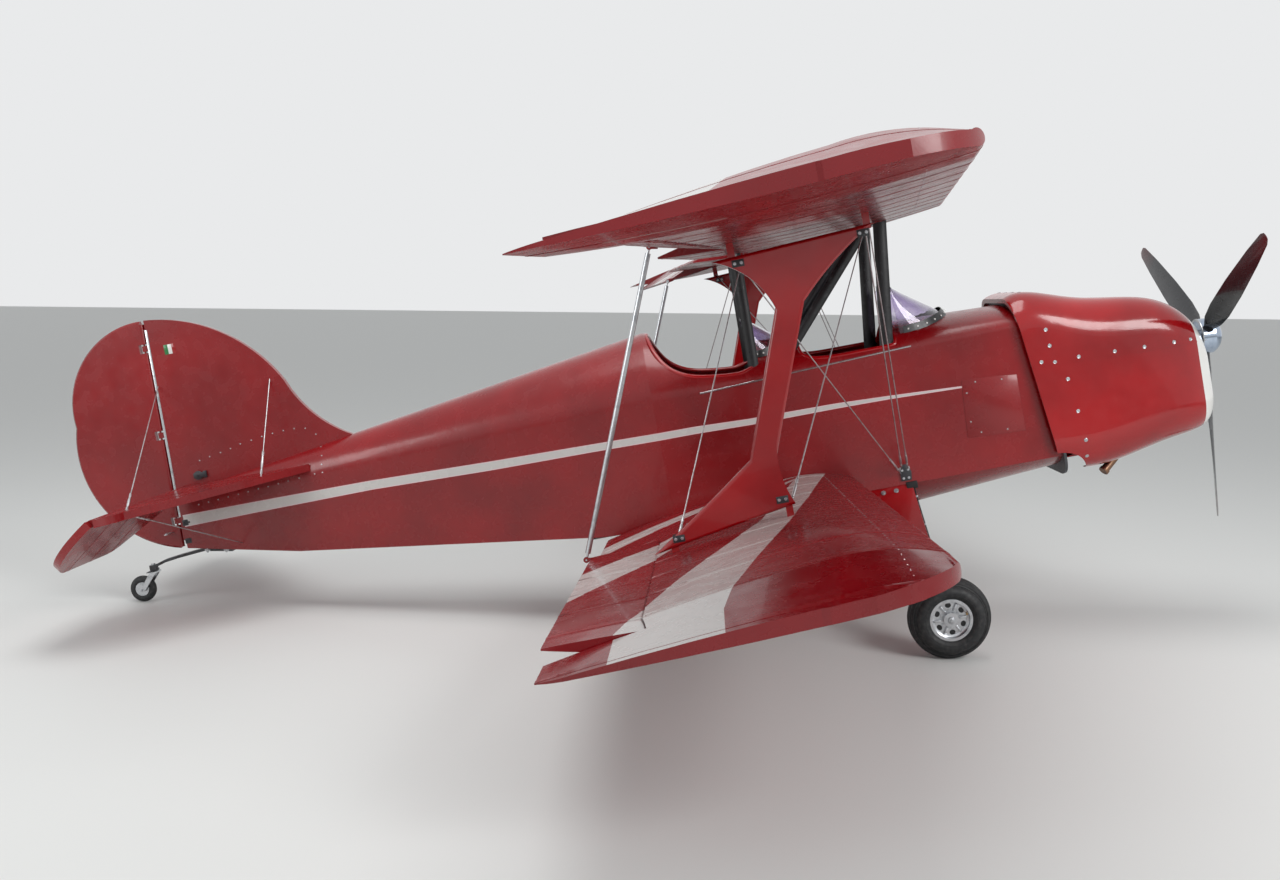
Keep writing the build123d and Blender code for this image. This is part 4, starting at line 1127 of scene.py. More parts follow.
@dataclass
class WingDressing:
    """Finishing tapes over the ribs and the rivet lines behind the stiff nose."""
    pitch: float = 325.0
    first: float = 410.0
    width: float = 26.0
    rise: float = 0.9
    skin: float = 150.0
    rivet_pitch: float = 46.0
    rivet_first: float = 470.0
    rivet_last: float = 2960.0

    def ribs(self, reach: float) -> list[float]:
        """Distances of the ribs from the centre plane, out to a reach."""
        count = int((reach - self.first) / self.pitch) + 1
        return [self.first + self.pitch * i for i in range(count)]

    def tape(self, name: str, body: str, finish: Finish, places: Sequence[float]) -> None:
        """Lays a cloth tape round a surface at each rib.

        Args:
            name: the CAD node to cover.
            body: the body that the node belongs to.
            finish: the tape's finish.
            places: y of each tape's middle, in mm.
        """
        piece = node_copy(name)
        half = self.width / 2
        low = min(vert.co.y for vert in piece.data.vertices) / MM
        high = max(vert.co.y for vert in piece.data.vertices) / MM
        inside = [y for y in places if low + half < y < high - half]
        if not inside:
            bpy.data.objects.remove(piece)
            return
        with editing(piece):
            for y in inside:
                for edge in (y - half, y + half):
                    bpy.ops.mesh.select_all(action="SELECT")
                    bpy.ops.mesh.bisect(plane_co=(0, edge * MM, 0), plane_no=(0, 1, 0))
            # What goes: faces between the tapes, and the ends of the wing
            pick(piece, bmesh.from_edit_mesh(piece.data), lambda middle, normal: (
                abs(normal.y) > 0.8 or all(abs(middle.y / MM - y) >= half for y in inside)))
            bpy.ops.mesh.delete(type="FACE")
        modify(piece, "SOLIDIFY", thickness=self.rise * MM, offset=1.0)
        keep(piece, f"rib_tapes_{name}", finish, body)

    def nose_rivets(self, name: str, body: str, swept: bool, sign: int) -> None:
        """Rows of small rivets along the rear edge of the stiff nose skin.

        Args:
            name: the CAD node that carries them.
            body: its body.
            swept: True for the upper wing.
            sign: -1 to starboard, 1 to port.
        """
        looks = ((2400.0, -1), (200.0, 1)) if swept else ((2400.0, -1),)
        lines = []
        y = self.rivet_first
        while y < self.rivet_last:
            nose = UPPER_NOSE_X / MM - y * SWEEP if swept else LOWER_NOSE_X / MM
            lines += [((nose - self.skin, sign * y, z), (0, 0, run)) for z, run in looks]
            y += self.rivet_pitch
        places = Skin(name).seats(lines)
        keep(copies(rivet(4.6, 1.3), places), f"nose_rivets_{name}", ALLOY, body)

    def build(self) -> None:
        """Tapes and rivets on both wings and their ailerons."""
        for side, sign in (("right", -1), ("left", 1)):
            places = [sign * y for y in self.ribs(3020.0)]
            for level, finish in (("lower", TAPE), ("upper", UPPER_TAPE)):
                self.tape(f"{level}_wing_{side}", "airframe", finish, places)
                aileron = f"{level}_aileron_{side}"
                self.tape(aileron, aileron, finish, places)
                self.nose_rivets(f"{level}_wing_{side}", "airframe", level == "upper", sign)
        self.tape("upper_centre", "airframe", UPPER_TAPE, [-330.0, -110.0, 110.0, 330.0])
        tail = [sign * y for sign in (-1, 1) for y in (190.0, 400.0, 610.0, 820.0)]
        for name, body in (("stabiliser_right", "airframe"), ("stabiliser_left", "airframe"),
                           ("elevator", "elevator")):
            self.tape(name, body, CLOTH, tail)


@dataclass
class Seats:
    """Seat pans with padded cushions in place of the two plain seats."""
    places: tuple[tuple[str, float], ...] = (("front", -215.0), ("rear", -860.0))
    width: float = 424.0
    depth: float = 396.0
    floor: float = 732.0
    pan_top: float = 880.0
    back_height: float = 400.0
    lean: float = 8.0
    pad: float = 74.0
    swell: float = 12.0
    voxel: float = 7.0
    pressure: float = 4.0
    steps: int = 20
    channel: float = 7.0

    def pad_shape(self, size: Point, ribs: int) -> Piece:
        """A cushion swollen by air, with sewn channels across it.

        Args:
            size: length, width and thickness in mm, lying flat round the origin.
            ribs: how many channels are sewn across its length.

        Returns:
            The cushion round the origin.
        """
        long, wide, thick = size
        piece = begin(Shape.BLOCK, (0, 0, 0), (long - 16, wide - 16, thick - 14))
        soften(piece, 17.0, 4)
        modify(piece, "REMESH", mode="VOXEL", voxel_size=self.voxel * MM)
        before = [vert.co.copy() for vert in piece.data.vertices]
        only(piece)
        cloth = piece.modifiers.new("Cloth", "CLOTH")
        cloth.settings.use_pressure = True
        cloth.settings.uniform_pressure_force = self.pressure
        cloth.settings.effector_weights.gravity = 0.0
        for step in range(1, self.steps + 1):
            bpy.context.scene.frame_set(step)
        bpy.ops.object.modifier_apply(modifier=cloth.name)
        bpy.context.scene.frame_set(1)
        for vert, start in zip(piece.data.vertices, before):
            move = vert.co - start
            if move.length > self.swell * MM:
                vert.co = start + move.normalized() * self.swell * MM
        limits = [long / 2, wide / 2, thick / 2]
        for vert in piece.data.vertices:
            share = (vert.co.x / MM / long + 0.5) * ribs
            crease = math.exp(-((share - round(share)) * long / ribs / 5.0) ** 2)
            inner = 0 < round(share) < ribs
            if inner and vert.co.z > 0:
                vert.co.z -= self.channel * MM * crease
            for axis in range(3):
                cap = limits[axis] * MM
                vert.co[axis] = max(-cap, min(cap, vert.co[axis]))
        return modify(piece, "SUBSURF", levels=1, render_levels=1)

    def pan(self, x: float) -> Piece:
        """The seat's box of thin sheet with a folded rim, and its back plate.

        Args:
            x: the middle of the seat.

        Returns:
            The new object.
        """
        high = self.pan_top - self.floor
        box = begin(Shape.BLOCK, (x, 0, self.floor + high / 2), (self.depth, self.width, high))
        with editing(box) as mesh:
            pick(box, mesh, lambda middle, normal: normal.z > 0.9)
            bpy.ops.mesh.inset(thickness=14 * MM)
            bpy.ops.mesh.extrude_region_move(TRANSFORM_OT_translate={"value": (0, 0, -30 * MM)})
        soften(box, 5.0, 2)
        foot = x - self.depth / 2 + 10.0
        tilt = Quaternion((0, 1, 0), math.radians(-self.lean))
        up = tilt @ Vector((0, 0, 1))
        middle = Vector((foot - 22.0, 0, self.pan_top - 6)) + up * self.back_height / 2
        plate = begin(Shape.BLOCK, middle, (14.0, self.width, self.back_height), tilt)
        with editing(plate) as mesh:
            pick(plate, mesh, lambda spot, normal: abs(normal.x) > 0.9)
            bpy.ops.mesh.inset(thickness=30 * MM)
            bpy.ops.transform.shrink_fatten(value=-3 * MM)
        soften(plate, 3.0, 2)
        return merge([box, plate])

    def piping(self, name: str,
               pads: Sequence[tuple[Piece, Vector, Vector, Vector, float]]) -> None:
        """A corded seam round the face of each cushion.

        Args:
            name: which seat.
            pads: cushion, middle, long axis, face axis and how far the seam is above it.
        """
        cords = []
        for pad, middle, long, face, lift in pads:
            skin, loop = Skin(pad), []
            side = face.cross(long)
            for k in range(48):
                turn = 2 * math.pi * k / 48
                away = long * math.cos(turn) + side * math.sin(turn)
                start = middle + face * lift + away * 400.0
                found = skin.meet(start, -away)
                if found:
                    loop.append(found[0] - away * 1.0)
            cords.append(pipe(loop, 3.2, closed=True))
        keep(merge(cords), f"{name}_seat_piping", UPHOLSTERY, angle=60)

    def harness(self, name: str, x: float, foot: Vector, up: Vector, ahead: Vector) -> None:
        """Lap and shoulder belts laid over the cushions, with a buckle.

        Args:
            name: which seat.
            x: the middle of the seat.
            foot: where its back starts.
            up: the direction of the back.
            ahead: the direction that the back faces.
        """
        belts = []
        face = foot + ahead * (self.pad - 22) / 2
        top = self.pan_top + self.pad + 2
        for y in (-85.0, 85.0):
            down = [foot - ahead * 28 + up * 300, foot - ahead * 22 + up * 372,
                    face + up * 362 + ahead * 12, face + up * 240 + ahead * 14,
                    face + up * 110 + ahead * 14, face + up * 30 + ahead * 16,
                    Vector((x - 90, 0, top)), Vector((x - 20, 0, top))]
            run = [(p.x, y * (1 - 0.11 * k), p.z) for k, p in enumerate(down)]
            belts.append(ribbon(run, (0, 46, 0), 2.2))
        for sign in (-1, 1):
            lap = [(x - 150, sign * 222, self.pan_top - 30), (x - 140, sign * 219, top - 22),
                   (x - 100, sign * 190, top), (x - 60, sign * 110, top + 1),
                   (x - 26, sign * 30, top + 2)]
            belts.append(ribbon(lap, (46, 0, 0), 2.2))
        keep(merge(belts), f"{name}_harness", BELT, angle=50)
        buckle = block((x - 28, 0, top + 6), (62, 66, 12), 4.0)
        button = block((x - 28, 0, top + 13), (26, 26, 6), 2.0)
        keep(merge([buckle, button]), f"{name}_harness_buckle", ALLOY)

    def build(self) -> None:
        """Both seats: pan, seat cushion and back cushion, each cushion made once."""
        base = self.pad_shape((self.depth - 20, self.width - 16, self.pad + 8), 4)
        back = self.pad_shape((self.back_height - 12, self.width - 24, self.pad - 22), 5)
        tilt = Quaternion((0, 1, 0), math.radians(-self.lean))
        up, ahead = tilt @ Vector((0, 0, 1)), tilt @ Vector((1, 0, 0))
        for name, x in self.places:
            keep(self.pan(x), f"{name}_seat_pan", DARK)
            seat_at = Vector((x + 8, 0, self.pan_top + (self.pad + 8) / 2 - 14)) * MM
            cushion = settle(duplicate(base), Matrix.Translation(seat_at))
            foot = Vector((x - self.depth / 2 + 22.0, 0, self.pan_top + 52))
            at = (foot + up * (self.back_height / 2 - 26) - ahead * 4) * MM
            stand = Matrix(((*up, 0), (0, -1, 0, 0), (*ahead, 0), (0, 0, 0, 1))).transposed()
            stand.translation = at
            rest_pad = settle(duplicate(back), stand)
            self.piping(name, ((cushion, seat_at / MM, Vector((1, 0, 0)), Vector((0, 0, 1)), 20.0),
                               (rest_pad, at / MM, up, ahead, 10.0)))
            self.harness(name, x, foot, up, ahead)
            for pad, label in ((cushion, "seat"), (rest_pad, "back")):
                keep(pad, f"{name}_{label}_cushion", UPHOLSTERY, angle=60)
            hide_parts(f"{name}_seat")
        for model in (base, back):
            bpy.data.objects.remove(model)


@dataclass
class Cockpits:
    """Rolled lips round both openings, longeron rails, screen strips and their screws."""
    half: float = 318.0
    wall: float = 20.0
    roll: float = 12.0
    stations: tuple[tuple[float, float, float], ...] = (
        (-1075.0, 1308.0, 1624.0), (-560.0, 1316.0, 1486.0),
        (100.0, 1326.0, 1456.0), (790.0, 1336.0, 1430.0))
    edges: tuple[tuple[str, tuple[Row, ...]], ...] = (
        ("rear", ((-1058, 1606), (-1053, 1590), (-1037, 1540), (-1008, 1480), (-972, 1437),
                  (-920, 1402), (-860, 1381), (-800, 1370), (-720, 1361), (-650, 1355),
                  (-600, 1370), (-556, 1388), (-552, 1410), (-550, 1430))),
        ("front", ((-363, 1425), (-362, 1408), (-354, 1388), (-335, 1375),
                   (-308, 1363), (-260, 1357), (-213, 1354), (-120, 1354), (-20, 1354),
                   (62, 1354), (79, 1362), (82, 1390), (85, 1420))))

    def deck(self, x: float) -> tuple[float, float]:
        """How high the deck is at one place.

        Args:
            x: the place along the body.

        Returns:
            The height of its shoulder and of its crown.
        """
        for aft, front in zip(self.stations, self.stations[1:]):
            if x <= front[0]:
                break
        part = (x - aft[0]) / (front[0] - aft[0])
        return tuple(a + (b - a) * part for a, b in zip(aft[1:], front[1:]))

    def rim(self, path: Sequence[Row]) -> list[Point]:
        """A cockpit's edge as a loop of points in the middle of the wall.

        Args:
            path: x and z down one side, from the aft end to the front end.

        Returns:
            The points of the whole loop.
        """
        side = []
        for x, z in path:
            shoulder, crown = self.deck(x)
            high = crown - self.wall / 2 - shoulder
            share = min(max((z - shoulder) / high, 0.0), 1.0)
            y = (self.half - self.wall / 2) * math.sqrt(1 - share ** 2)
            side.append((x, y, min(z, shoulder + high)))
        ends = []
        for x, y, z in (side[0], side[-1]):
            shoulder, crown = self.deck(x)
            high, wide = crown - self.wall / 2 - shoulder, self.half - self.wall / 2
            fan = [y * k / 4 for k in (3, 2, 1, 0)]
            ends.append([(x, w, shoulder + high * math.sqrt(1 - (w / wide) ** 2)) for w in fan])
        half = ends[0][::-1] + side + ends[1]
        return half + [(x, -y, z) for x, y, z in reversed(half[1:-1])]

    def lips(self) -> None:
        """A padded roll round each cockpit opening."""
        for name, path in self.edges:
            loop = pipe(self.rim(path), self.roll, closed=True, sides=5)
            keep(loop, f"{name}_cockpit_lip", SHELL, angle=60)

    def rails(self) -> None:
        """A thin grey rail along the upper longeron on each side."""
        points = [(-850, -319.5, 1304), (-500, -319.5, 1317), (-100, -319.5, 1331),
                  (140, -318.5, 1339)]
        keep(pair(pipe(points, 4.0)), "longeron_rails", ALLOY)

    def screen_feet(self) -> None:
        """A black strip round the foot of each windscreen, with domed screws."""
        for name in ("front", "rear"):
            glass = node_copy(f"{name}_windscreen")
            skin, deck = Skin(f"{name}_windscreen"), Skin("top_deck")
            low = min((vert.co.x for vert in glass.data.vertices)) / MM
            high = max((vert.co.x for vert in glass.data.vertices)) / MM
            bpy.data.objects.remove(glass)
            spots: list[Hit] = []
            middle = Vector((low + 20, 0, 0))
            for k in range(-15, 16):
                turn = math.radians(90 * k / 15.5)
                out = Vector((math.cos(turn) * (high - low), math.sin(turn) * self.half, 0))
                start = middle + out * 1.3
                foot = None
                for z in range(1340, 1500, 3):
                    found = skin.meet((start.x, start.y, z), middle - start)
                    if found:
                        foot = found
                        break
                if foot:
                    spots.append(foot)
            self.strip(name, spots)
            self.screws(name, spots)

    def strip(self, name: str, spots: Sequence[Hit]) -> None:
        """The black strip through the foot points of one screen.

        Args:
            name: which screen.
            spots: the points and normals of its foot.
        """
        lean, rise = -18.0, 30.0
        low, high = [], []
        for spot, normal in spots:
            flat = Vector((normal.x, normal.y, 0)).normalized()
            low.append(spot + normal * 1.6 - Vector((0, 0, 3.0)) + flat * 2.0)
            high.append(spot + normal * 1.6 + Vector((flat.x * lean, flat.y * lean * 0.25, rise)))
        piece = band(low, high, 3.0)
        keep(piece, f"{name}_screen_strip", STRUT, angle=50)

    def screws(self, name: str, spots: Sequence[Hit]) -> None:
        """A domed screw at every other foot point of one screen."""
        places = []
        for spot, normal in spots[1::2]:
            places.append(seat_on(spot + Vector((0, 0, 13.0)), normal, 1.0))
        keep(copies(rivet(10.0, 4.0), places), f"{name}_screen_screws", WHITE)

    def build(self) -> None:
        """All the trim round the two openings."""
        self.lips()
        self.rails()
        self.screen_feet()


@dataclass
class Cowling:
    """Fasteners, the joint along the cowl, access panels and what shows in the inlets."""
    joint: tuple[Row, Row] = ((560.0, 1148.0), (1430.0, 1112.0))
    rear_row: tuple[Row, ...] = (
        (742, 1300), (748, 1225), (760, 1147), (806, 1060), (828, 907), (843, 769), (845, 690))
    joint_row: tuple[float, ...] = (700, 870, 1034, 1170, 1311, 1395)
    panel: tuple[float, float, float, float] = (339.0, 590.0, 872.0, 1143.0)

    def fasteners(self) -> None:
        """Quarter-turn fasteners down the rear edge and along the joint."""
        (x0, z0), (x1, z1) = self.joint
        row = list(self.rear_row)
        row += [(x, z0 + (z1 - z0) * (x - x0) / (x1 - x0) + 16) for x in self.joint_row]
        lines = [((x, sign * 600, z), (0, -sign, 0)) for x, z in row for sign in (-1, 1)]
        lines += [((690.0, y, 1700.0), (0, 0, -1)) for y in (-200.0, -70.0, 70.0, 200.0)]
        places = Skin("engine_cowl").seats(lines, -0.4)
        cup = lathe(((2, 0.8), (8.5, 0.0), (9.0, 0.9), (7.0, 2.2), (5.5, 1.6), (2, 1.9)),
                    (0, 0, 0), (0, 0, 1), 16)
        slot = block((0, 0, 1.9), (7.0, 1.6, 1.4), 0.3)
        keep(copies(merge([cup, slot]), places), "cowl_fasteners", ALLOY)

    def joint_strip(self) -> None:
        """The thin raised edge where the upper cowl laps over the lower one."""
        piece = node_copy("engine_cowl")
        (x0, z0), (x1, z1) = self.joint
        slope = Vector((x1 - x0, 0, z1 - z0)).normalized()
        up = Vector((-slope.z, 0, slope.x))
        slab(piece, Vector((x0, 0, z0)) + up * 4.0, up)
        slab(piece, Vector((x0, 0, z0)) - up * 3.0, -up)
        with editing(piece) as mesh:
            pick(piece, mesh, lambda middle, normal: middle.y * normal.y < 0 or abs(normal.x) > 0.9)
            bpy.ops.mesh.delete(type="FACE")
        modify(piece, "SOLIDIFY", thickness=1.3 * MM, offset=1.0)
        keep(piece, "cowl_joint_strip", SHELL)

    def access_panels(self) -> None:
        """A riveted access plate on each flank ahead of the front cockpit."""
        aft, front, low, high = self.panel
        y = -318.9
        corners = [(aft + 7, y, high), (aft, y, high - 8),
                   (aft - 14, y, low + 8), (aft - 8, y, low),
                   (front, y, low - 12), (front, y, high - 22)]
        plate = outline(corners, (0, -1.1, 0), 0.5)
        keep(pair(plate), "access_panels", FIN_CLOTH)
        spots = [(354, 1078), (351, 944), (400, 1122), (520, 1112), (390, 888), (510, 880)]
        places = []
        for x, z in spots:
            for sign in (-1, 1):
                place = Vector((x, sign * 320.0, z))
                places.append(seat_on(place, Vector((0, sign, 0))))
        keep(copies(rivet(9.0, 2.4), places), "access_panel_screws", ALLOY)

    def coolers(self) -> None:
        """Finned coolers behind the three inlets of the nose."""
        for index, (y, z, wide, high) in enumerate(((-128, 985, 92, 72), (128, 985, 92, 72),
                                                    (0, 842, 226, 82))):
            fin = begin(Shape.BLOCK, (1444, y - wide / 2 + 3, z), (22.0, 1.4, high))
            soften(fin, 0.3, 1)
            modify(fin, "ARRAY", count=int(wide / 6.0), use_relative_offset=False,
                   use_constant_offset=True, constant_offset_displace=(0, 6.0 * MM, 0))
            tubes = []
            for level in (z + high * part for part in (-0.36, -0.12, 0.12, 0.36)):
                tubes.append(bar((1446, y - wide / 2, level), (1446, y + wide / 2, level),
                                 3.0, sides=10))
            keep(merge([fin, *tubes]), f"inlet_cooler_{index + 1}", ALLOY)

    def collar(self) -> None:
        """The flared collar on the end of the exhaust."""
        end, back = Vector((955.0, -150.0, 575.0)), Vector((1040.0, -120.0, 640.0))
        run = (end - back).normalized()
        ring = lathe(((20.2, -14), (23.5, -13), (24.0, 0), (22.5, 3), (18.5, 3), (17.5, -2)),
                     end - run * 2, run, 24)
        keep(ring, "exhaust_collar", HOT_STEEL)

    def build(self) -> None:
        """All the cowl's small parts."""
        self.fasteners()
        self.joint_strip()
        self.access_panels()
        self.coolers()
        self.collar()


@dataclass
class Tail:
    """Rivets, hinge strip and flag on the fin, and the fittings, clamps and horns round it."""
    fin_row: tuple[Row, ...] = (
        (-3354, 1419), (-3300, 1429), (-3241, 1439), (-3188, 1449), (-3134, 1462), (-3076, 1470),
        (-3020, 1478), (-2964, 1484), (-2908, 1487), (-2852, 1487), (-2798, 1478))
    corner: tuple[Row, ...] = (
        (-2752, 1440), (-2734, 1376), (-2725, 1335), (-2728, 1294), (-2731, 1255))
    low_row: tuple[Row, ...] = (
        (-2772, 1254), (-2855, 1248), (-2914, 1243), (-2967, 1239), (-3022, 1234), (-3075, 1232),
        (-3131, 1226), (-3185, 1222), (-3240, 1218), (-3295, 1214), (-3348, 1210), (-3402, 1206))
    hinge: tuple[Row, ...] = (
        (-3542.2, 1160.0), (-3524.0, 1577.0), (-3505.8, 2011.0), (-3502.0, 2100.0))
    half: float = 17.0

    def rivets(self) -> None:
        """Bright rivet heads along the joint of the fin with the body."""
        skins = [Skin("fin"), Skin("tail_section")]
        places = []
        for x, z in (*self.fin_row, *self.corner, *self.low_row):
            for sign in (-1, 1):
                start, run = (x, sign * 400.0, z), (0, -sign, 0)
                found = [hit for hit in (skin.meet(start, run) for skin in skins) if hit]
                if found:
                    places.append(seat_on(*max(found, key=lambda hit: abs(hit[0].y))))
        keep(copies(rivet(8.0, 2.4), places), "fin_rivets", ALLOY)

    def hinge_strip(self) -> None:
        """The bright strip down the rear edge of the fin, with its rivets."""
        front = [(x + 34.0, -self.half - 0.1, z) for x, z in self.hinge]
        back = [(x + 22.0, -self.half - 0.1, z) for x, z in self.hinge]
        strip = outline(front + back[::-1], (0, -1.2, 0), 0.3)
        places = []
        (x0, z0), (x1, z1) = self.hinge[0], self.hinge[-1]
        for k in range(16):
            part = (k + 0.5) / 16
            spot = Vector((x0 + (x1 - x0) * part + 28.0, -self.half - 1.3, z0 + (z1 - z0) * part))
            places.append(seat_on(spot, Vector((0, -1, 0))))
        heads = copies(rivet(5.0, 1.6), places)
        keep(pair(merge([strip, heads])), "fin_hinge_strip", ALLOY)

    def pulleys(self) -> None:
        """A grooved pulley in its bracket on each side of the fin, ahead of the hinge."""
        at = Vector((-3373.0, -27.0, 1349.0))
        wheel = lathe(((5, -4), (20, -4), (22, -3.4), (18, 0), (22, 3.4), (20, 4), (5, 4)),
                      at, (0, 1, 0), 28)
        plates = [block(at + Vector((10, s * 5.6, 0)), (64, 1.8, 26), 0.5) for s in (-1, 1)]
        foot = block(at + Vector((34, 5.0, 0)), (16, 14, 34), 1.5)
        pin = copies(bolt(8.0, 4.0), [seat_on(at + Vector((0, -6.4, 0)), Vector((0, -1, 0)))])
        keep(pair(merge([wheel, *plates, foot, pin])), "rudder_cable_pulleys", DARK)

    def post_fittings(self) -> None:
        """Black gussets and bolts on the stern post, and the bottom bracket."""
        parts = []
        for x, z, long, high in ((-3486, 1128, 44, 30), (-3498, 1036, 34, 26)):
            parts.append(block((x, -20.6, z), (long, 3.0, high), 1.0))
            for step in (-0.28, 0.28):
                spot = Vector((x + long * step, -22.0, z))
                parts.append(copies(bolt(7.0, 3.4), [seat_on(spot, Vector((0, -1, 0)))]))
        keep(pair(merge(parts)), "stern_post_fittings", DARK)

    def spring_clamps(self) -> None:
        """Two clamps with bolts that hold the tail spring under the stern."""
        parts = []
        for x, z in ((-3318, 965), (-3412, 981)):
            tilt = Quaternion((0, 1, 0), math.radians(10.9))
            parts.append(block((x, 0, z - 9), (26, 58, 9), 1.5, tilt))
            for y in (-25.0, 25.0):
                low = Vector((x, y, z - 14))
                parts.append(bar(low, low + Vector((0, 0, 30)), 3.0))
                parts.append(copies(bolt(10.0, 5.0), [seat_on(low, Vector((0, 0, -1)))]))
        keep(merge(parts), "tail_spring_clamps", ALLOY)

    def trim_horn(self) -> None:
        """The trim tab's servo, its horn and rod on the starboard elevator."""
        skin = Skin("elevator")
        found = skin.meet((-3640.0, -576.0, 1500.0), (0, 0, -1))
        if not found:
            return
        spot, normal = found
        base = block(spot + normal * 2, (70, 34, 5), 1.5, along(normal))
        horn = outline([spot + Vector((-24, -4, 0)), spot + Vector((18, -4, -14)),
                        spot + Vector((-2, -4, 0)) + normal * 38,
                        spot + Vector((-10, -4, 0)) + normal * 38], (0, 2.5, 0), 0.5)
        head = spot + normal * 33 + Vector((-6, -2, 0))
        tail = skin.meet((-3735.0, -576.0, 1500.0), (0, 0, -1))
        parts = [base, horn]
        if tail:
            parts.append(bar(head, tail[0] + tail[1] * 9, 2.0))
            parts.append(block(tail[0] + tail[1] * 5, (12, 8, 12), 1.0, along(tail[1])))
        keep(merge(parts), "trim_tab_horn", ALLOY, "elevator")

    def rudder_horn(self) -> None:
        """The horn across the foot of the rudder that its cables pull."""
        arm = outline([(-3566, -95, 1090), (-3582, -95, 1090), (-3606, -18, 1090),
                       (-3606, 18, 1090), (-3582, 95, 1090), (-3566, 95, 1090),
                       (-3562, 19, 1090), (-3562, -19, 1090)], (0, 0, 4), 1.0)
        places = [Matrix.Translation(Vector((-3573, y, 1094)) * MM) for y in (-86.0, 86.0)]
        pins = copies(bolt(7.0, 4.0), places)
        keep(merge([arm, pins]), "rudder_horn", ALLOY, "rudder")

    def steering_arm(self) -> None:
        """The arm on the tail fork's head."""
        arm = outline([(-3728, -62, 918), (-3712, -62, 918), (-3692, -16, 918), (-3692, 16, 918),
                       (-3712, 62, 918), (-3728, 62, 918), (-3732, 18, 918), (-3732, -18, 918)],
                      (0, 0, 4), 1.0)
        keep(arm, "steering_arm", DARK, "tail_fork")

    def flag(self) -> None:
        """A small three-stripe flag high on each side of the fin."""
        for k, (label, finish) in enumerate((("green", GREEN), ("white", WHITE), ("red", SHELL))):
            x = -3376.0 + 19.5 * (k - 1)
            stripe = block((x, -self.half - 0.4, 1987.0), (19.5, 0.8, 48.0), 0.2)
            keep(pair(stripe), f"flag_{label}", finish)

    def build(self) -> None:
        """Everything small at the tail."""
        self.rivets()
        self.hinge_strip()
        self.pulleys()
        self.post_fittings()
        self.spring_clamps()
        self.trim_horn()
        self.rudder_horn()
        self.steering_arm()
        self.flag()


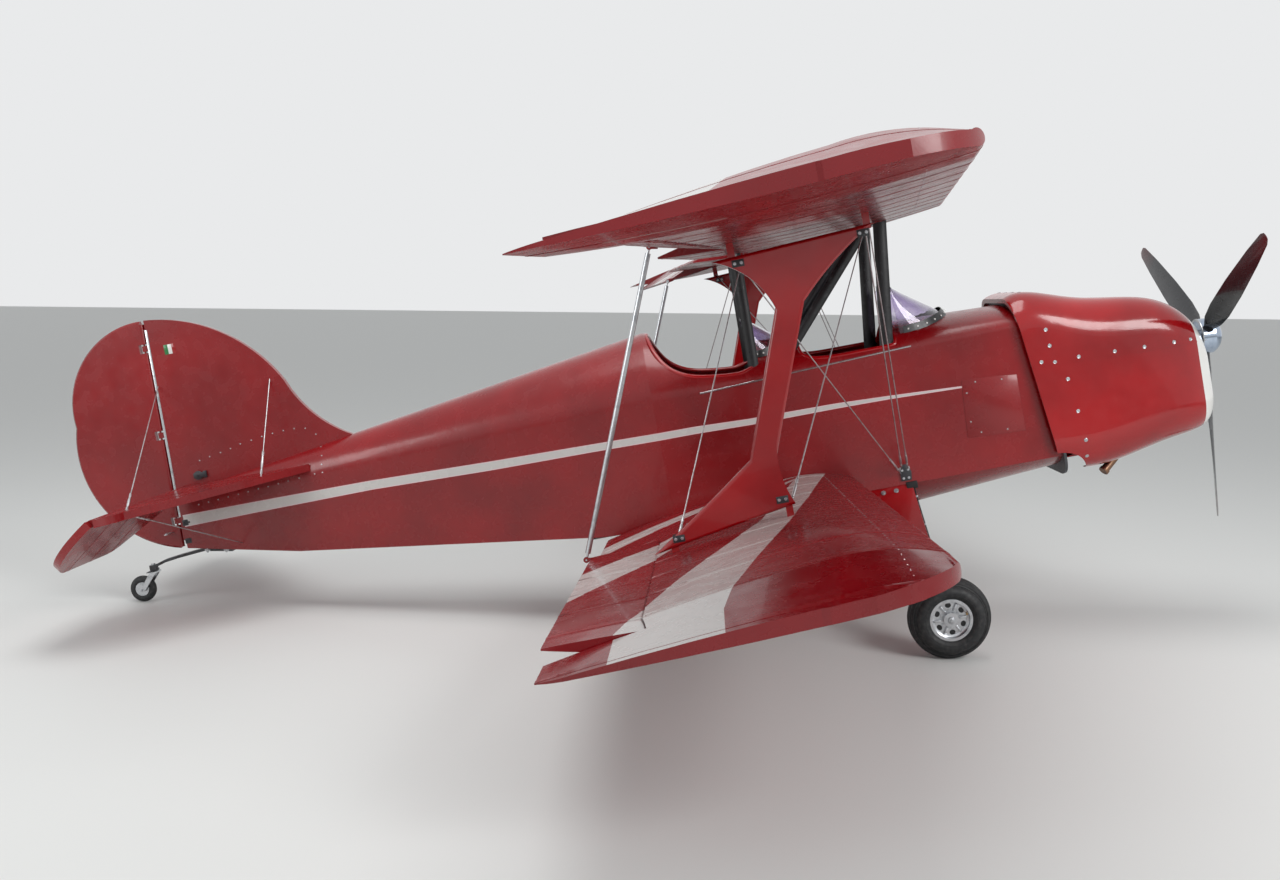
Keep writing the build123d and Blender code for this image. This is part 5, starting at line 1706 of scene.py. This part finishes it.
@dataclass
class Gear:
    """Hubs, brakes and their pipes, tyre ribs, strut rubbers and the tail wheel's bolts."""
    axle: tuple[float, float, float] = (36.0, 750.0, 175.0)
    rim_half: float = 59.0
    dish: float = 30.0

    def round_hub(self, face: Vector, out: Vector, reach: float, start: float) -> list[Matrix]:
        """Six places round a hub.

        Args:
            face: the middle of the hub's face.
            out: the direction of the axle.
            reach: how far from the axle, in mm.
            start: the turn of the first one, in degrees.

        Returns:
            Matrices with their X away from the axle and their Z along it.
        """
        places = []
        for k in range(6):
            arm = Quaternion(out, math.radians(60 * k + start)) @ Vector((1, 0, 0))
            axes = Matrix((arm, out.cross(arm), out)).transposed().to_4x4()
            places.append(Matrix.Translation((face + arm * reach) * MM) @ axes)
        return places

    def hub(self, side: str, sign: int) -> None:
        """The wheel's bolted hub with six ribs, black discs as painted shade in its six cooling
        pockets, and its valve.

        Args:
            side: right or left.
            sign: -1 to starboard, 1 to port.
        """
        x, y, z = self.axle
        out = Vector((0, sign, 0))
        face = Vector((x, sign * (y + self.rim_half - self.dish), z))
        cap = lathe(((14.5, -2), (31, -2), (32, 1), (27, 6), (25, 16), (22, 19), (17, 19),
                     (14.5, 17)), face, out, 36)
        parts = [cap]
        rib = block((0, 0, 6), (34, 11, 14), 3.5)
        parts.append(copies(rib, self.round_hub(face, out, 54.0, 0.0)))
        turns = [Quaternion(out, math.radians(60 * k + 30)) for k in range(6)]
        heads = [seat_on(face + turn @ Vector((40, 0, 0)), out) for turn in turns]
        parts.append(copies(bolt(9.0, 5.0), heads))
        rim_ring = lathe(((70, -1), (86, 0), (89, 6), (87, 12), (82, 7), (70, 4)), face, out, 48)
        parts.append(rim_ring)
        keep(merge(parts), f"wheel_hub_{side}", ALLOY, f"wheel_{side}")
        # Flat black discs on the hub face: painted shade where the six cooling pockets would be
        # recessed
        pocket_shade = soften(begin(Shape.ROUND, (0, 0, 0.4), (22, 26, 1.6), sides=20), 0.5, 1)
        pocket_shades = copies(pocket_shade, self.round_hub(face, out, 60.0, 30.0))
        keep(pocket_shades, f"wheel_pocket_shades_{side}", STRUT, f"wheel_{side}")
        stem = face + Quaternion(out, math.radians(12)) @ Vector((72, 0, 0))
        valve = [bar(stem, stem + out * 26, 2.6), bar(stem + out * 18, stem + out * 30, 3.8)]
        keep(merge(valve), f"tyre_valve_{side}", BRASS, f"wheel_{side}")

    def tread(self, side: str, sign: int) -> None:
        """Raised ribs round the tread and a bead line on each wall of a tyre.

        Args:
            side: right or left.
            sign: -1 to starboard, 1 to port.
        """
        x, y, z = self.axle
        middle, skin = Vector((x, sign * y, z)), Skin(f"main_tyre_{side}")
        rings = []
        for offset in (-44.0, -26.0, -9.0, 9.0, 26.0, 44.0):
            found = skin.meet(middle + Vector((0, offset, 400)), (0, 0, -1))
            if found:
                r = (found[0] - middle).z
                profile = ((r - 2, offset - 5), (r + 1.1, offset - 4), (r + 1.1, offset + 4),
                           (r - 2, offset + 5))
                rings.append(lathe(profile, middle, (0, 1, 0), 64))
        for radius in (112.0, 150.0):
            for way in (-1, 1):
                found = skin.meet(middle + Vector((radius, way * 300, 0)), (0, -way, 0))
                if found:
                    at = found[0].y - middle.y
                    profile = ((radius - 2.4, at - way * 3), (radius - 1.2, at + way * 1.2),
                               (radius + 1.2, at + way * 1.2), (radius + 2.4, at - way * 3))
                    rings.append(lathe(profile, middle, (0, 1, 0), 64))
        keep(merge(rings), f"tyre_ribs_{side}", TYRE, f"wheel_{side}")

    def brake(self, side: str, sign: int) -> None:
        """A brake disc on the wheel and its caliper on the leg.

        Args:
            side: right or left.
            sign: -1 to starboard, 1 to port.
        """
        x, y, z = self.axle
        at = Vector((x, sign * (y - self.rim_half - 12), z))
        disc = lathe(((30, -2), (74, -2), (76, -1), (76, 1), (74, 2), (30, 2)), at, (0, 1, 0), 48)
        keep(disc, f"brake_disc_{side}", ALLOY, f"wheel_{side}")
        body = at + Vector((-58, 0, 34))
        parts = [block(body + Vector((0, -sign * 9, 0)), (44, 12, 40), 3.0),
                 block(body + Vector((0, sign * 8, 0)), (40, 10, 36), 2.5),
                 bar(body + Vector((-22, -14, 8)), body + Vector((-22, 14, 8)), 5.0),
                 bar(body + Vector((-22, -14, -10)), body + Vector((-22, 14, -10)), 5.0),
                 block(body + Vector((14, -sign * 16, -16)), (54, 5, 22), 1.5)]
        keep(merge(parts), f"brake_caliper_{side}", DARK)

    def pipes(self) -> None:
        """The brake pipe down the front edge of each leg, in four clips."""
        leg = [(43 + 28 * t, -295 - 345 * t, 716 - 549 * t) for t in (0.02, 0.15, 0.3, 0.45, 0.6,
                                                                     0.75, 0.86)]
        run = [(231, -288, 694), (180, -286, 700), (110, -288, 705), (66, -292, 710), *leg,
               (40, -655, 226), (-6, -668, 222)]
        line = pipe(run, 2.6)
        clips = []
        for t in (0.12, 0.34, 0.56, 0.78):
            at = Vector((42 + 28 * t, -295 - 345 * t, 716 - 549 * t))
            clips.append(block(at, (14, 8, 10), 1.0))
        keep(pair(line), "brake_pipes", STRUT)
        keep(pair(merge(clips)), "brake_pipe_clips", ALLOY)

    def rubbers(self) -> None:
        """The stack of rubber discs on each shock strut, with its end plates."""
        low, high = Vector((16.0, -640.0, 217.0)), Vector((16.0, -70.0, 620.0))
        run = high - low
        places = [seat_on(low + run * (0.30 + 0.032 * k), run.normalized()) for k in range(8)]
        ring = lathe(((17.4, -8), (24, -8.6), (29, -6), (30.5, 0), (29, 6), (24, 8.6), (17.4, 8)),
                     (0, 0, 0), (0, 0, 1), 28)
        keep(pair(copies(ring, places)), "shock_rubbers", BLOCK_RUBBER)
        ends = [lathe(((17.4, -3), (32, -3), (33, 0), (32, 3), (17.4, 3)),
                      low + run * part, run, 28) for part in (0.282, 0.543)]
        keep(pair(merge(ends)), "shock_end_plates", ALLOY)

    def leg_trim(self) -> None:
        """The rubber block at the top of each leg, axle nuts and leg bolts."""
        pad = block((37, -320, 704), (52, 14, 34), 4.0, segments=3)
        keep(pair(pad), "leg_buffers", BLOCK_RUBBER)
        x, y, z = self.axle
        places = [seat_on(Vector((x, -813.0, z)), Vector((0, -1, 0)))]
        for t, dx in ((0.05, -60), (0.05, -120), (0.93, 0)):
            spot = Vector((20 + dx, -295 - 345 * t - 17.5, 716 - 549 * t + 4))
            places.append(seat_on(spot, Vector((0, -0.847, 0.532))))
        cap = lathe(((2, -10), (15, -10), (15.4, 1), (13, 4.5), (9, 6), (2, 6.4)),
                    (x, -809, z), (0, -1, 0), 28)
        keep(pair(merge([copies(bolt(15.0, 8.0), places), cap])), "leg_bolts", ALLOY)

    def tail_wheel(self) -> None:
        """Axle bolts of the tail wheel and the ribs of its small hub."""
        at = Vector((-3787.0, 0.0, 838.0))
        places = [seat_on(at + Vector((0, s * 33.0, 0)), Vector((0, s, 0))) for s in (-1, 1)]
        keep(copies(bolt(13.0, 6.0), places), "tail_axle_bolts", ALLOY, "tail_fork")
        spokes = []
        for k in range(5):
            for s in (-1, 1):
                turn = Quaternion((0, 1, 0), math.radians(72 * k))
                arm = turn @ Vector((1, 0, 0))
                spokes.append(block(at + arm * 25 + Vector((0, s * 14, 0)), (24, 5, 7), 1.5, turn))
        keep(merge(spokes), "tail_hub_ribs", ALLOY, "tail_wheel")

    def build(self) -> None:
        """Both main wheels with their brakes, the legs' trim and the tail wheel's bolts."""
        for side, sign in (("right", -1), ("left", 1)):
            self.hub(side, sign)
            self.tread(side, sign)
            self.brake(side, sign)
        self.pipes()
        self.rubbers()
        self.leg_trim()
        self.tail_wheel()


@dataclass
class Rigging:
    """Turnbuckles, tangs and bolts at the ends of the wires and struts."""
    wires: tuple[tuple[Point, Point], ...] = (
        ((2, -325.3, 780), (-151, -1620, 1893.7)), ((30, -325.3, 780), (-137, -1620, 1893.7)),
        ((-4, -325.3, 764), (-638, -1620, 1869.5)),
        ((-596, -1620, 916.9), (48.4, -316.7, 1960.5)),
        ((-1034, -1620, 842.3), (-522.9, -316.7, 1932.5)),
        ((-2962, -330, 1290), (-2918, 0, 1772)), ((-3372, -900, 1290), (-3478, 0, 1827)),
        ((-3372, -880, 1290), (-3209, 0, 960)))
    strut_y: float = 1620.0
    strut_half: float = 17.0
    eyes: tuple[Row, ...] = ((-164, 1851), (-620, 1829), (-616, 958), (-1014, 884))
    cabane: tuple[Row, ...] = (
        (20, 1216), (22, 1262), (-508, 1302), (-580, 1216), (100, 1930), (62, 1932), (-573, 1900))

    def turnbuckles(self) -> None:
        """A barrel with two locked ends near the lower end of each wire."""
        barrel = lathe(((2.7, -34), (4.4, -33), (5.6, -24), (6.4, 0), (5.6, 24), (4.4, 33),
                        (2.7, 34)), (0, 0, 0), (0, 0, 1), 16)
        nuts = [soften(begin(Shape.ROUND, (0, 0, z), (10.5, 10.5, 6.0), sides=6), 0.5, 1)
                for z in (-38, 38)]
        forks = [block((0, s * 4.2, z), (7, 1.8, 22), 0.5) for s in (-1, 1) for z in (-50, 50)]
        model = merge([barrel, *nuts, *forks])
        places = []
        for low, high in self.wires:
            run = (Vector(high) - Vector(low)).normalized()
            places.append(seat_on(Vector(low) + run * 92, run))
        keep(pair(copies(model, places)), "turnbuckles", STAINLESS)

    def strut_shoes(self) -> None:
        """Bolt heads and small plates on both faces of each interplane strut's corners."""
        plates, heads = [], []
        for x, z in self.eyes:
            for face in (-1, 1):
                y = -self.strut_y + face * (self.strut_half + 0.8)
                plates.append(block((x, y, z), (44, 2.0, 26), 0.6))
                for dx in (-12, 12):
                    spot = Vector((x + dx, y + face, z))
                    heads.append(seat_on(spot, Vector((0, face, 0))))
        keep(pair(merge(plates)), "strut_shoe_plates", DARK)
        keep(pair(copies(bolt(8.0, 3.6), heads)), "strut_shoe_bolts", ALLOY)

    def cabane_bolts(self) -> None:
        """Bolts through the heads and feet of the cabane struts."""
        skin, places = Skin("cabane_struts"), []
        for x, z in self.cabane:
            found = skin.meet((x, -500, z), (0, 1, 0))
            if found and found[0].y < -260:
                places.append(seat_on(*found))
        if places:
            keep(pair(copies(bolt(10.0, 5.0), places)), "cabane_bolts", ALLOY)

    def root_brackets(self) -> None:
        """The black bracket of the flying wires on each flank and its bolts."""
        plate = outline([(-8, -324.5, 730), (40, -324.5, 730), (44, -324.5, 770),
                         (26, -324.5, 806), (4, -324.5, 806), (-10, -324.5, 770)],
                        (0, -2.0, 0), 0.6)
        spots = [(4, 742), (28, 742), (2, 780), (30, 780)]
        heads = [seat_on(Vector((x, -326.4, z)), Vector((0, -1, 0))) for x, z in spots]
        keep(pair(plate), "wire_brackets", DARK)
        keep(pair(copies(bolt(8.0, 4.0), heads)), "wire_bracket_bolts", ALLOY)

    def build(self) -> None:
        """All wire and strut ends."""
        self.turnbuckles()
        self.strut_shoes()
        self.cabane_bolts()
        self.root_brackets()


@dataclass
class PropellerTrim:
    """Back plate and screws of the spinner."""
    hub: tuple[float, float, float] = (1562.0, 0.0, 1105.0)
    thrust: float = math.radians(-4.0)
    radius: float = 84.0

    def build(self) -> None:
        """The back plate's rolled edge and ten screws round the spinner."""
        axis = Vector((math.cos(self.thrust), 0, math.sin(self.thrust)))
        at = Vector(self.hub)
        skin = Skin("spinner")
        side, over = Vector((0, 1, 0)), axis.cross(Vector((0, 1, 0)))
        foot = None
        for step in range(-60, 40):
            found = skin.meet(at + axis * step + side * 300, -side)
            if found:
                foot = step
                break
        if foot is None:
            return
        r = self.radius
        ring = lathe(((r - 10, -2), (r + 0.8, -2), (r + 2, 0), (r + 0.8, 2.4), (r - 10, 2)),
                     at + axis * (foot + 1), axis, 48)
        keep(ring, "spinner_back_plate", ALLOY, "propeller")
        turns = [2 * math.pi * (k + 0.25) / 10 for k in range(10)]
        ways = [side * math.cos(turn) + over * math.sin(turn) for turn in turns]
        places = skin.seats([(at + axis * (foot + 9) + way * 300, -way) for way in ways], -0.3)
        keep(copies(rivet(7.0, 2.0), places), "spinner_screws", STAINLESS, "propeller")


@dataclass
class Controls:
    """Instruments, switches, sticks, pedals and the throttle in both cockpits."""
    panels: tuple[tuple[str, float], ...] = (("front", 128.0), ("rear", -500.0))
    large: tuple[Row, ...] = ((-150, 1322), (-50, 1330), (50, 1330), (150, 1322))
    small: tuple[Row, ...] = (
        (-195, 1232), (-100, 1232), (0, 1232), (100, 1232), (195, 1232))

    def dial(self, radius: float) -> dict[Finish, Piece]:
        """One instrument without its needle, that looks along its own Z.

        Args:
            radius: of its bezel, in mm.

        Returns:
            The piece of each finish, round the origin.
        """
        r = radius
        bezel = lathe(((r * 0.82, 0), (r, 0), (r * 1.02, 3), (r * 0.96, 7), (r * 0.84, 7),
                       (r * 0.82, 4)), (0, 0, 0), (0, 0, 1), 32)
        face = begin(Shape.ROUND, (0, 0, 1.6), (r * 1.68, r * 1.68, 2.2), sides=32)
        marks = []
        for share, steps in ((0.16, range(0, 24, 3)), (0.09, (k for k in range(24) if k % 3))):
            long = r * share
            tick = begin(Shape.BLOCK, (0, r * 0.78 - long / 2, 3.0), (r * 0.028, long, 0.6))
            turns = [Matrix.Rotation(math.radians(15 * k), 4, "Z") for k in steps]
            marks.append(copies(tick, turns))
        for k in range(8):
            turn = math.radians(-45 * k)
            rest()
            bpy.ops.object.text_add()
            figure = bpy.context.object
            figure.data.body, figure.data.size = str(k), r * 0.24 * MM
            figure.data.align_x, figure.data.align_y = "CENTER", "CENTER"
            figure.data.extrude = 0.3 * MM
            bpy.ops.object.convert(target="MESH")
            spot = Vector((math.sin(turn) * -0.5 * r, math.cos(turn) * 0.5 * r, 3.0)) * MM
            marks.append(settle(bpy.context.object, Matrix.Translation(spot)))
        return {PANEL: bezel, DIAL: soften(face, 0.3, 1), MARKS: merge(marks)}

    def cluster(self, name: str, x: float) -> None:
        """The dials and switches of one panel, on its rear face.

        Args:
            name: which cockpit.
            x: where the panel stands.
        """
        skin = Skin(f"{name}_panel")
        stock: dict[Finish, list[Piece]] = {PANEL: [], DIAL: [], MARKS: []}
        axes = Matrix(((0, 0, -1, 0), (-1, 0, 0, 0), (0, 1, 0, 0), (0, 0, 0, 1)))
        count = 0
        for spots, radius in ((self.large, 42.0), (self.small, 29.0)):
            places, needles = [], []
            for y, z in spots:
                found = skin.meet((x - 150, y, z), (1, 0, 0))
                if found:
                    places.append(Matrix.Translation(found[0] * MM) @ axes)
                    turn = Matrix.Rotation(math.radians(37.0 * count + 20), 4, "Z")
                    needles.append(places[-1] @ turn)
                count += 1
            for finish, model in self.dial(radius).items():
                stock[finish].append(copies(model, places))
            needle = begin(Shape.BLOCK, (0, radius * 0.24, 3.8),
                           (radius * 0.05, radius * 0.72, 0.7))
            stock[MARKS].append(copies(needle, needles))
        labels = {PANEL: "dial_bezels", DIAL: "dial_faces", MARKS: "dial_marks"}
        for finish, pieces in stock.items():
            keep(merge(pieces), f"{name}_{labels[finish]}", finish)
        toggles = []
        for y in (-120, -80, -40, 40, 80, 120):
            found = skin.meet((x - 150, y, 1172), (1, 0, 0))
            if found:
                at = found[0]
                toggles.append(lathe(((2, 0), (7, 0), (7, 2.5), (4.5, 4), (4, 9), (2, 9)), at,
                                     (-1, 0, 0), 12))
                toggles.append(bar(at + Vector((-7, 0, 0)), at + Vector((-20, 0, 8)), 1.8))
        keep(merge(toggles), f"{name}_switches", ALLOY)

    def stick(self, name: str, x: float) -> None:
        """A control stick with its grip and the boot round its foot.

        Args:
            name: which cockpit.
            x: where it stands.
        """
        line = pipe([(x + 6, 0, 738), (x + 2, 0, 850), (x - 4, 0, 940), (x - 26, 0, 1010),
                     (x - 34, 0, 1090)], 10.0)
        keep(line, f"{name}_stick", DARK)
        grip = lathe(((3, 0), (15, 0), (16, 8), (14, 30), (16.5, 55), (14.5, 84), (17, 108),
                      (13, 118), (3, 121)), (x - 30, 0, 1040), (-0.1, 0, 1), 20)
        boot = lathe(((11, 96), (13, 92), (20, 78), (17, 70), (30, 56), (26, 48), (44, 30),
                      (39, 24), (62, 8), (66, 0), (11, 0)), (x + 6, 0, 733), (0, 0, 1), 24)
        keep(merge([grip, boot]), f"{name}_stick_grip", BLOCK_RUBBER)

    def pedals(self, name: str, x: float, y: float, wide: float) -> None:
        """Two rudder pedals: bent tube, tread bar and its ribs.

        Args:
            name: which cockpit.
            x: where they stand.
            y: how far each one is from the centre plane.
            wide: the width of each.
        """
        half = wide / 2
        tube = pipe([(x + 30, -y - half, 742), (x + 12, -y - half, 800), (x, -y - half, 862),
                     (x - 2, -y + half, 862), (x + 12, -y + half, 800), (x + 30, -y + half, 742)],
                    7.0, smooth=False)
        tread = block((x - 5, -y, 850), (9, wide, 46), 3.0, Quaternion((0, 1, 0), 0.2))
        ribs = [block((x - 10, -y, 850 + z), (4, wide - 8, 4), 1.0) for z in (-14, -5, 4, 13)]
        keep(pair(merge([tube, tread, *ribs])), f"{name}_pedals", DARK)

    def throttle(self, name: str, x: float) -> None:
        """The throttle quadrant on the port wall.

        Args:
            name: which cockpit.
            x: where it stands.
        """
        plate = block((x, 291, 1190), (120, 6, 60), 3.0)
        lever = bar((x, 284, 1178), (x + 22, 276, 1262), 4.0)
        knob = begin(Shape.BALL, (x + 24, 275, 1270), (24, 20, 24), sides=20)
        knob = merge([knob, lathe(((3, 0), (7, 0), (6, 8), (3, 8)), (x + 21, 276, 1254),
                                  (0.25, 0, 1), 16)])
        keep(merge([plate, lever]), f"{name}_throttle", ALLOY)
        keep(knob, f"{name}_throttle_knob", BLOCK_RUBBER)

    def build(self) -> None:
        """Everything in both cockpits that a pilot handles."""
        for name, x in self.panels:
            self.cluster(name, x)
        self.stick("front", 44.0)
        self.stick("rear", -602.0)
        self.pedals("front", 400.0, 130.0, 96.0)
        self.pedals("rear", -462.0, 254.0, 52.0)
        self.throttle("front", -60.0)
        self.throttle("rear", -690.0)


@dataclass
class Studio:
    """Floor, soft lamps, pale world and the camera that matches the photograph."""
    spot: tuple[float, float, float] = (0.2598, -6.3730, 1.5243)
    yaw: float = 2.2581
    pitch: float = -5.9904
    roll: float = 0.5977
    focal: float = 1307.13
    width: int = 1280
    sensor: float = 36.0

    def camera(self) -> None:
        """A camera at the photograph's place, with its lens."""
        y, p, r = (math.radians(v) for v in (self.yaw, self.pitch, self.roll))
        ahead = Vector((-math.sin(y) * math.cos(p), math.cos(y) * math.cos(p), math.sin(p)))
        level = Vector((math.cos(y), math.sin(y), 0.0))
        up = level.cross(ahead)
        right = level * math.cos(r) + up * math.sin(r)
        over = -level * math.sin(r) + up * math.cos(r)
        lens = bpy.data.cameras.new("camera")
        lens.sensor_width = self.sensor
        lens.lens = self.focal * self.sensor / self.width
        lens.clip_start, lens.clip_end = 0.05, 200.0
        eye = bpy.data.objects.new("camera", lens)
        bpy.context.collection.objects.link(eye)
        turn = Matrix((right, over, -ahead)).transposed().to_4x4()
        eye.matrix_world = Matrix.Translation(Vector(self.spot)) @ turn
        bpy.context.scene.camera = eye

    def lamp(self, name: str, at: Point, target: Point, size: float, power: float) -> None:
        """A square soft lamp that points at a target.

        Args:
            name: what it is for.
            at: its place in metres.
            target: where it points.
            size: its side in metres.
            power: its power in watts.
        """
        light = bpy.data.lights.new(name, "AREA")
        light.shape, light.size, light.energy = "SQUARE", size, power
        thing = bpy.data.objects.new(name, light)
        bpy.context.collection.objects.link(thing)
        thing.location = at
        thing.rotation_euler = (Vector(target) - Vector(at)).to_track_quat("-Z", "Y").to_euler()

    def world(self) -> None:
        """A pale world: near white to the eye and to mirrors, dimmer as a source of light."""
        world = bpy.data.worlds.new("studio")
        bpy.context.scene.world = world
        world.use_nodes = True
        tree = world.node_tree
        tree.nodes.clear()
        path = node(tree, "LightPath")
        seen = path.outputs["Is Camera Ray"]
        for ray in ("Is Glossy Ray", "Is Transmission Ray"):
            seen = maths(tree, "MAXIMUM", seen, path.outputs[ray])
        light = node(tree, "Background", linear("#F2F4F6"), 0.52)
        shown = node(tree, "Background", linear("#E9EAEB"), 1.0)
        both = node(tree, "MixShader", seen, light.outputs[0], shown.outputs[0])
        node(tree, "OutputWorld", both.outputs[0])

    def floor(self) -> None:
        """A pale floor that takes the shadow."""
        rest()
        bpy.ops.mesh.primitive_plane_add(size=400.0, location=(0, 0, 0))
        ground = bpy.context.object
        ground.name = "floor"
        material = bpy.data.materials.new("floor")
        material.use_nodes = True
        shader = material.node_tree.nodes["Principled BSDF"]
        shader.inputs["Base Color"].default_value = linear("#D9DAD8")
        shader.inputs["Roughness"].default_value = 0.6
        ground.data.materials.append(material)

    def build(self) -> None:
        """The whole studio."""
        scene = bpy.context.scene
        scene.view_settings.view_transform = "Standard"
        self.camera()
        self.world()
        self.floor()
        self.lamp("key", (6.5, -6.5, 5.5), (0.6, -0.2, 1.0), 4.0, 430.0)
        self.lamp("overhead", (-0.5, -1.0, 6.5), (-0.3, 0.0, 1.0), 4.0, 210.0)
        self.lamp("fill", (-6.5, -5.5, 3.0), (-0.5, 0.0, 1.0), 3.0, 120.0)


def main() -> None:
    """Builds the studio and dresses the aeroplane, sub-assembly by sub-assembly."""
    logging.basicConfig(level=logging.INFO, format="%(name)s: %(message)s")
    Studio().build()
    dress_nodes()
    for assembly in (WingDressing(), Seats(), Cockpits(), Cowling(), Tail(), Gear(), Rigging(),
                     PropellerTrim(), Controls()):
        LOG.info("building %s", type(assembly).__name__)
        assembly.build()


if __name__ == "__main__":
    main()
